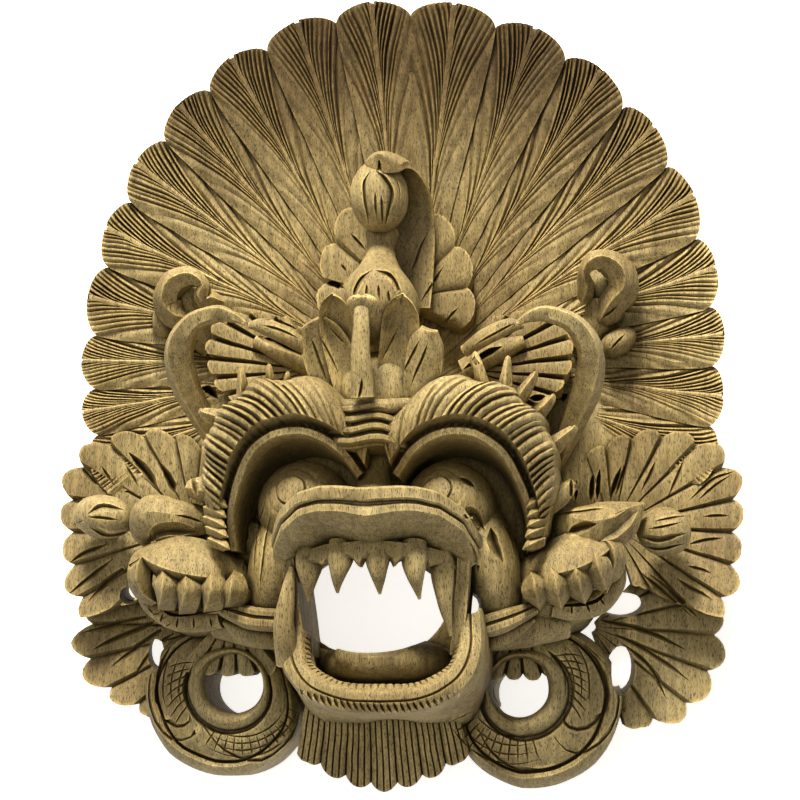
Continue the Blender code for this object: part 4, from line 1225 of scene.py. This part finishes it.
def wood():
    """Unpainted, weathered light wood: grain and open pores along Y, with painted shade in grooves and
    recesses, a painted highlight on edges that is partly wear, and a brown stain with painted shade on the
    fan's top.
    """
    material = bpy.data.materials.new("carved_wood")
    material.use_nodes = True
    tree = material.node_tree
    shader = tree.nodes["Principled BSDF"]
    shader.inputs["Roughness"].default_value = 0.62
    shader.inputs["Metallic"].default_value = 0.0
    shader.inputs["Specular IOR Level"].default_value = 0.35
    place = tree.nodes.new("ShaderNodeTexCoord").outputs["Object"]

    def stretched(across, along):
        mapping = node_of(tree, "ShaderNodeMapping", Scale=(across, along, across))
        tree.links.new(place, mapping.inputs["Vector"])
        return mapping.outputs["Vector"]

    def clouds(vector, scale, detail, roughness=0.55):
        node = node_of(tree, "ShaderNodeTexNoise", Scale=scale, Detail=detail, Roughness=roughness)
        tree.links.new(vector, node.inputs["Vector"])
        return node.outputs["Fac"]

    def tinted(colour, factor, tint):
        return mix_of(tree, "MIX", factor, colour, mix_of(tree, "MULTIPLY", 1.0, colour, tint))

    # A mask of how closed in the wood is round a point, for painted shade; with inside it finds edges for
    # the painted highlight
    def closed_in(distance, inside, low, high):
        node = node_of(tree, "ShaderNodeAmbientOcclusion", samples=6, inside=inside, Distance=distance)
        return ramp_of(tree, node.outputs["AO"], (low, grey(1.0)), (high, grey(0.0)))

    patches = ramp_of(tree, clouds(stretched(1, 0.5), 22, 4), *LIGHT_WOOD)
    streaks = ramp_of(tree, clouds(stretched(1, 0.05), 420, 4, 0.65), (0.34, grey(0.66)), (0.62, grey(1.1)))
    colour = mix_of(tree, "MULTIPLY", 1.0, patches, streaks)
    pores = ramp_of(tree, clouds(stretched(1, 0.2), 2100, 2), (0.35, grey(0.22)), (0.47, grey(1.0)))
    colour = mix_of(tree, "MULTIPLY", 0.9, colour, pores)
    # Painted shade in narrow grooves and in deeper recesses
    colour = tinted(colour, closed_in(GROOVE_SHADE_REACH, False, 0.35, 0.85), GROOVE_SHADE_TINT)
    colour = tinted(colour, closed_in(RECESS_SHADE_REACH, False, 0.2, 0.85), RECESS_SHADE_TINT)
    # Painted highlight on convex edges, partly worn edges
    colour = tinted(colour, closed_in(EDGE_WEAR_AND_HIGHLIGHT_REACH, True, 0.55, 0.95), EDGE_WEAR_AND_HIGHLIGHT_TINT)
    # A brown stain and painted shade darken the fan's top
    where = tree.nodes.new("ShaderNodeSeparateXYZ")
    tree.links.new(place, where.inputs["Vector"])
    high = ramp_of(tree, where.outputs["Y"], (STAIN_AND_SHADE_Y[0], grey(0.0)), (STAIN_AND_SHADE_Y[1], grey(1.0)))
    behind = ramp_of(tree, where.outputs["Z"], (STAIN_AND_SHADE_Z[0], grey(1.0)), (STAIN_AND_SHADE_Z[1], grey(0.0)))
    colour = tinted(colour, mix_of(tree, "MULTIPLY", 1.0, high, behind), STAIN_AND_SHADE_TINT)
    tree.links.new(colour, shader.inputs["Base Color"])

    marks = node_of(tree, "ShaderNodeTexVoronoi", Scale=170.0)
    tree.links.new(stretched(1, 0.6), marks.inputs["Vector"])
    dents = node_of(tree, "ShaderNodeBump", Strength=0.35, Distance=DENT_DEPTH)
    tree.links.new(marks.outputs["Distance"], dents.inputs["Height"])
    grain = node_of(tree, "ShaderNodeBump", Strength=0.7, Distance=GRAIN_DEPTH)
    tree.links.new(clouds(stretched(1, 0.12), 1100, 4, 0.7), grain.inputs["Height"])
    tree.links.new(dents.outputs["Normal"], grain.inputs["Normal"])
    tree.links.new(grain.outputs["Normal"], shader.inputs["Normal"])
    return material


# The mask as one mesh


def stored(name, shape):
    """The mesh object of one shape in units, in metres in the frame."""
    points, faces = shape
    mesh = bpy.data.meshes.new(name)
    mesh.from_pydata(((points - np.array(ORIGIN)) * UNIT).tolist(), [], faces)
    tool = bmesh.new()
    tool.from_mesh(mesh)
    bmesh.ops.recalc_face_normals(tool, faces=tool.faces)
    tool.to_mesh(mesh)
    tool.free()
    return bpy.data.objects.new(name, mesh)


def opened_out(shapes):
    return [(true_places(points), faces) for points, faces in shapes]


def worked(mask, steps):
    """Gives the mask its mesh after Booleans, each a name, an operation and its shapes."""
    collections = []
    for name, operation, shapes in steps:
        collection = bpy.data.collections.new(name)
        bpy.context.scene.collection.children.link(collection)
        for number, shape in enumerate(shapes):
            collection.objects.link(stored(f"{name}_{number:03d}", shape))
        modifier = mask.modifiers.new(name, "BOOLEAN")
        modifier.operation = operation
        modifier.operand_type = "COLLECTION"
        modifier.collection = collection
        modifier.solver = "MANIFOLD"
        collections.append(collection)
    graph = bpy.context.evaluated_depsgraph_get()
    mesh = bpy.data.meshes.new_from_object(mask.evaluated_get(graph))
    mask.modifiers.clear()
    mask.data = mesh
    for collection in collections:
        for helper in list(collection.objects):
            bpy.data.objects.remove(helper)
        bpy.data.collections.remove(collection)


# How far the hand strays from a true shape, and over what length, in units. Without a seed the noise
# starts from the clock, and each run would differ
UNEVEN = 0.45
UNEVEN_STEP = 11.0
UNEVEN_SEED = 7
# Edges over this angle, in degrees, are shaded sharp
SHARP_ANGLE = 38.0


def carved_mask():
    """Every shape joined to one closed mesh, and the gouge's cuts taken out of it."""
    mask = stored("mask_carving", opened_out([face_core()])[0])
    bpy.context.scene.collection.objects.link(mask)
    carving = []
    face = (brows, brow_trim, eyes, upper_lip, gum, lower_jaw, jowls, beard)
    for group in (fan, side_leaves, scrolls, *face, horns, horn_leaves, curls, ears, crest, nose):
        carving += group()
    in_openings = [*teeth(), *mouth_corners(), *hanging_leaves()]
    steps = [("carving", "UNION", carving), ("openings", "DIFFERENCE", cutters())]
    steps.append(("inside", "UNION", in_openings))
    worked(mask, [(name, kind, opened_out(shapes)) for name, kind, shapes in steps])
    surface = surface_of(mask.data)
    cuts = [*strokes(ALL_CUTS), *chin_cuts(), *scroll_cuts()]
    worked(mask, [("cuts", "DIFFERENCE", [gouged(surface, *one) for one in cuts])])
    mesh = mask.data
    noise.seed_set(UNEVEN_SEED)
    for point in mesh.vertices:
        point.co += UNEVEN * UNIT * noise.noise_vector(point.co / (UNEVEN_STEP * UNIT))
    mesh.shade_smooth()
    mesh.set_sharp_from_angle(angle=math.radians(SHARP_ANGLE))
    mesh.materials.clear()
    mesh.materials.append(wood())
    return mask


# Floor, light and camera, in metres and watts

FLOOR_HALF = 4.0
FLOOR_DROP = 0.0002
FLOOR_GREY = 0.86
FLOOR_GLOW = 0.75
LIGHT_TARGET = (0, 0, 0.05)
SKY_COLOUR = (0.9, 0.94, 1.0, 1)
SKY_STRENGTH = 0.18
SENSOR_WIDTH = 36


def floor():
    mesh = bpy.data.meshes.new("floor")
    sides = ((-1, -1), (1, -1), (1, 1), (-1, 1))
    mesh.from_pydata([(x * FLOOR_HALF, y * FLOOR_HALF, 0) for x, y in sides], [], [(0, 1, 2, 3)])
    plane = bpy.data.objects.new("floor", mesh)
    plane.location.z = -FLOOR_DROP
    bpy.context.scene.collection.objects.link(plane)
    material = bpy.data.materials.new("floor")
    material.use_nodes = True
    shader = material.node_tree.nodes["Principled BSDF"]
    shader.inputs["Base Color"].default_value = (*grey(FLOOR_GREY), 1)
    shader.inputs["Roughness"].default_value = 0.9
    shader.inputs["Emission Color"].default_value = (1, 1, 1, 1)
    shader.inputs["Emission Strength"].default_value = FLOOR_GLOW
    mesh.materials.append(material)


def area_light(name, place, size, power, colour):
    light = bpy.data.objects.new(name, bpy.data.lights.new(name, "AREA"))
    light.data.size = size
    light.data.energy = power
    light.data.color = colour
    light.location = place
    light.rotation_euler = (Vector(place) - Vector(LIGHT_TARGET)).to_track_quat("Z", "Y").to_euler()
    bpy.context.scene.collection.objects.link(light)


def lights():
    area_light("overhead", (-0.12, 1.32, 0.96), 0.4, 53, (1.0, 0.96, 0.86))
    area_light("fill", (-0.2, -0.3, 1.8), 1.0, 9, (1.0, 0.98, 0.92))
    world = bpy.data.worlds.new("studio")
    world.use_nodes = True
    sky = world.node_tree.nodes["Background"]
    sky.inputs["Color"].default_value = SKY_COLOUR
    sky.inputs["Strength"].default_value = SKY_STRENGTH
    bpy.context.scene.world = world


def camera():
    """The camera at the photo's viewing angle."""
    data = bpy.data.cameras.new("camera")
    seen = bpy.data.objects.new("camera", data)
    bpy.context.scene.collection.objects.link(seen)
    seen.location = Vector((VIEW_EYE - np.array(ORIGIN)) * UNIT)
    seen.rotation_euler = Matrix((VIEW_ACROSS, VIEW_UP, VIEW_AXIS)).transposed().to_euler()
    data.sensor_width = SENSOR_WIDTH
    data.lens = SENSOR_WIDTH * VIEW_HEIGHT * SLANT_LENGTH / PHOTO_WIDTH
    bpy.context.scene.camera = seen


camera()
lights()
floor()
mask = carved_mask()
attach(mask, "root")
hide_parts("mask")
bpy.context.scene.view_settings.view_transform = "Standard"
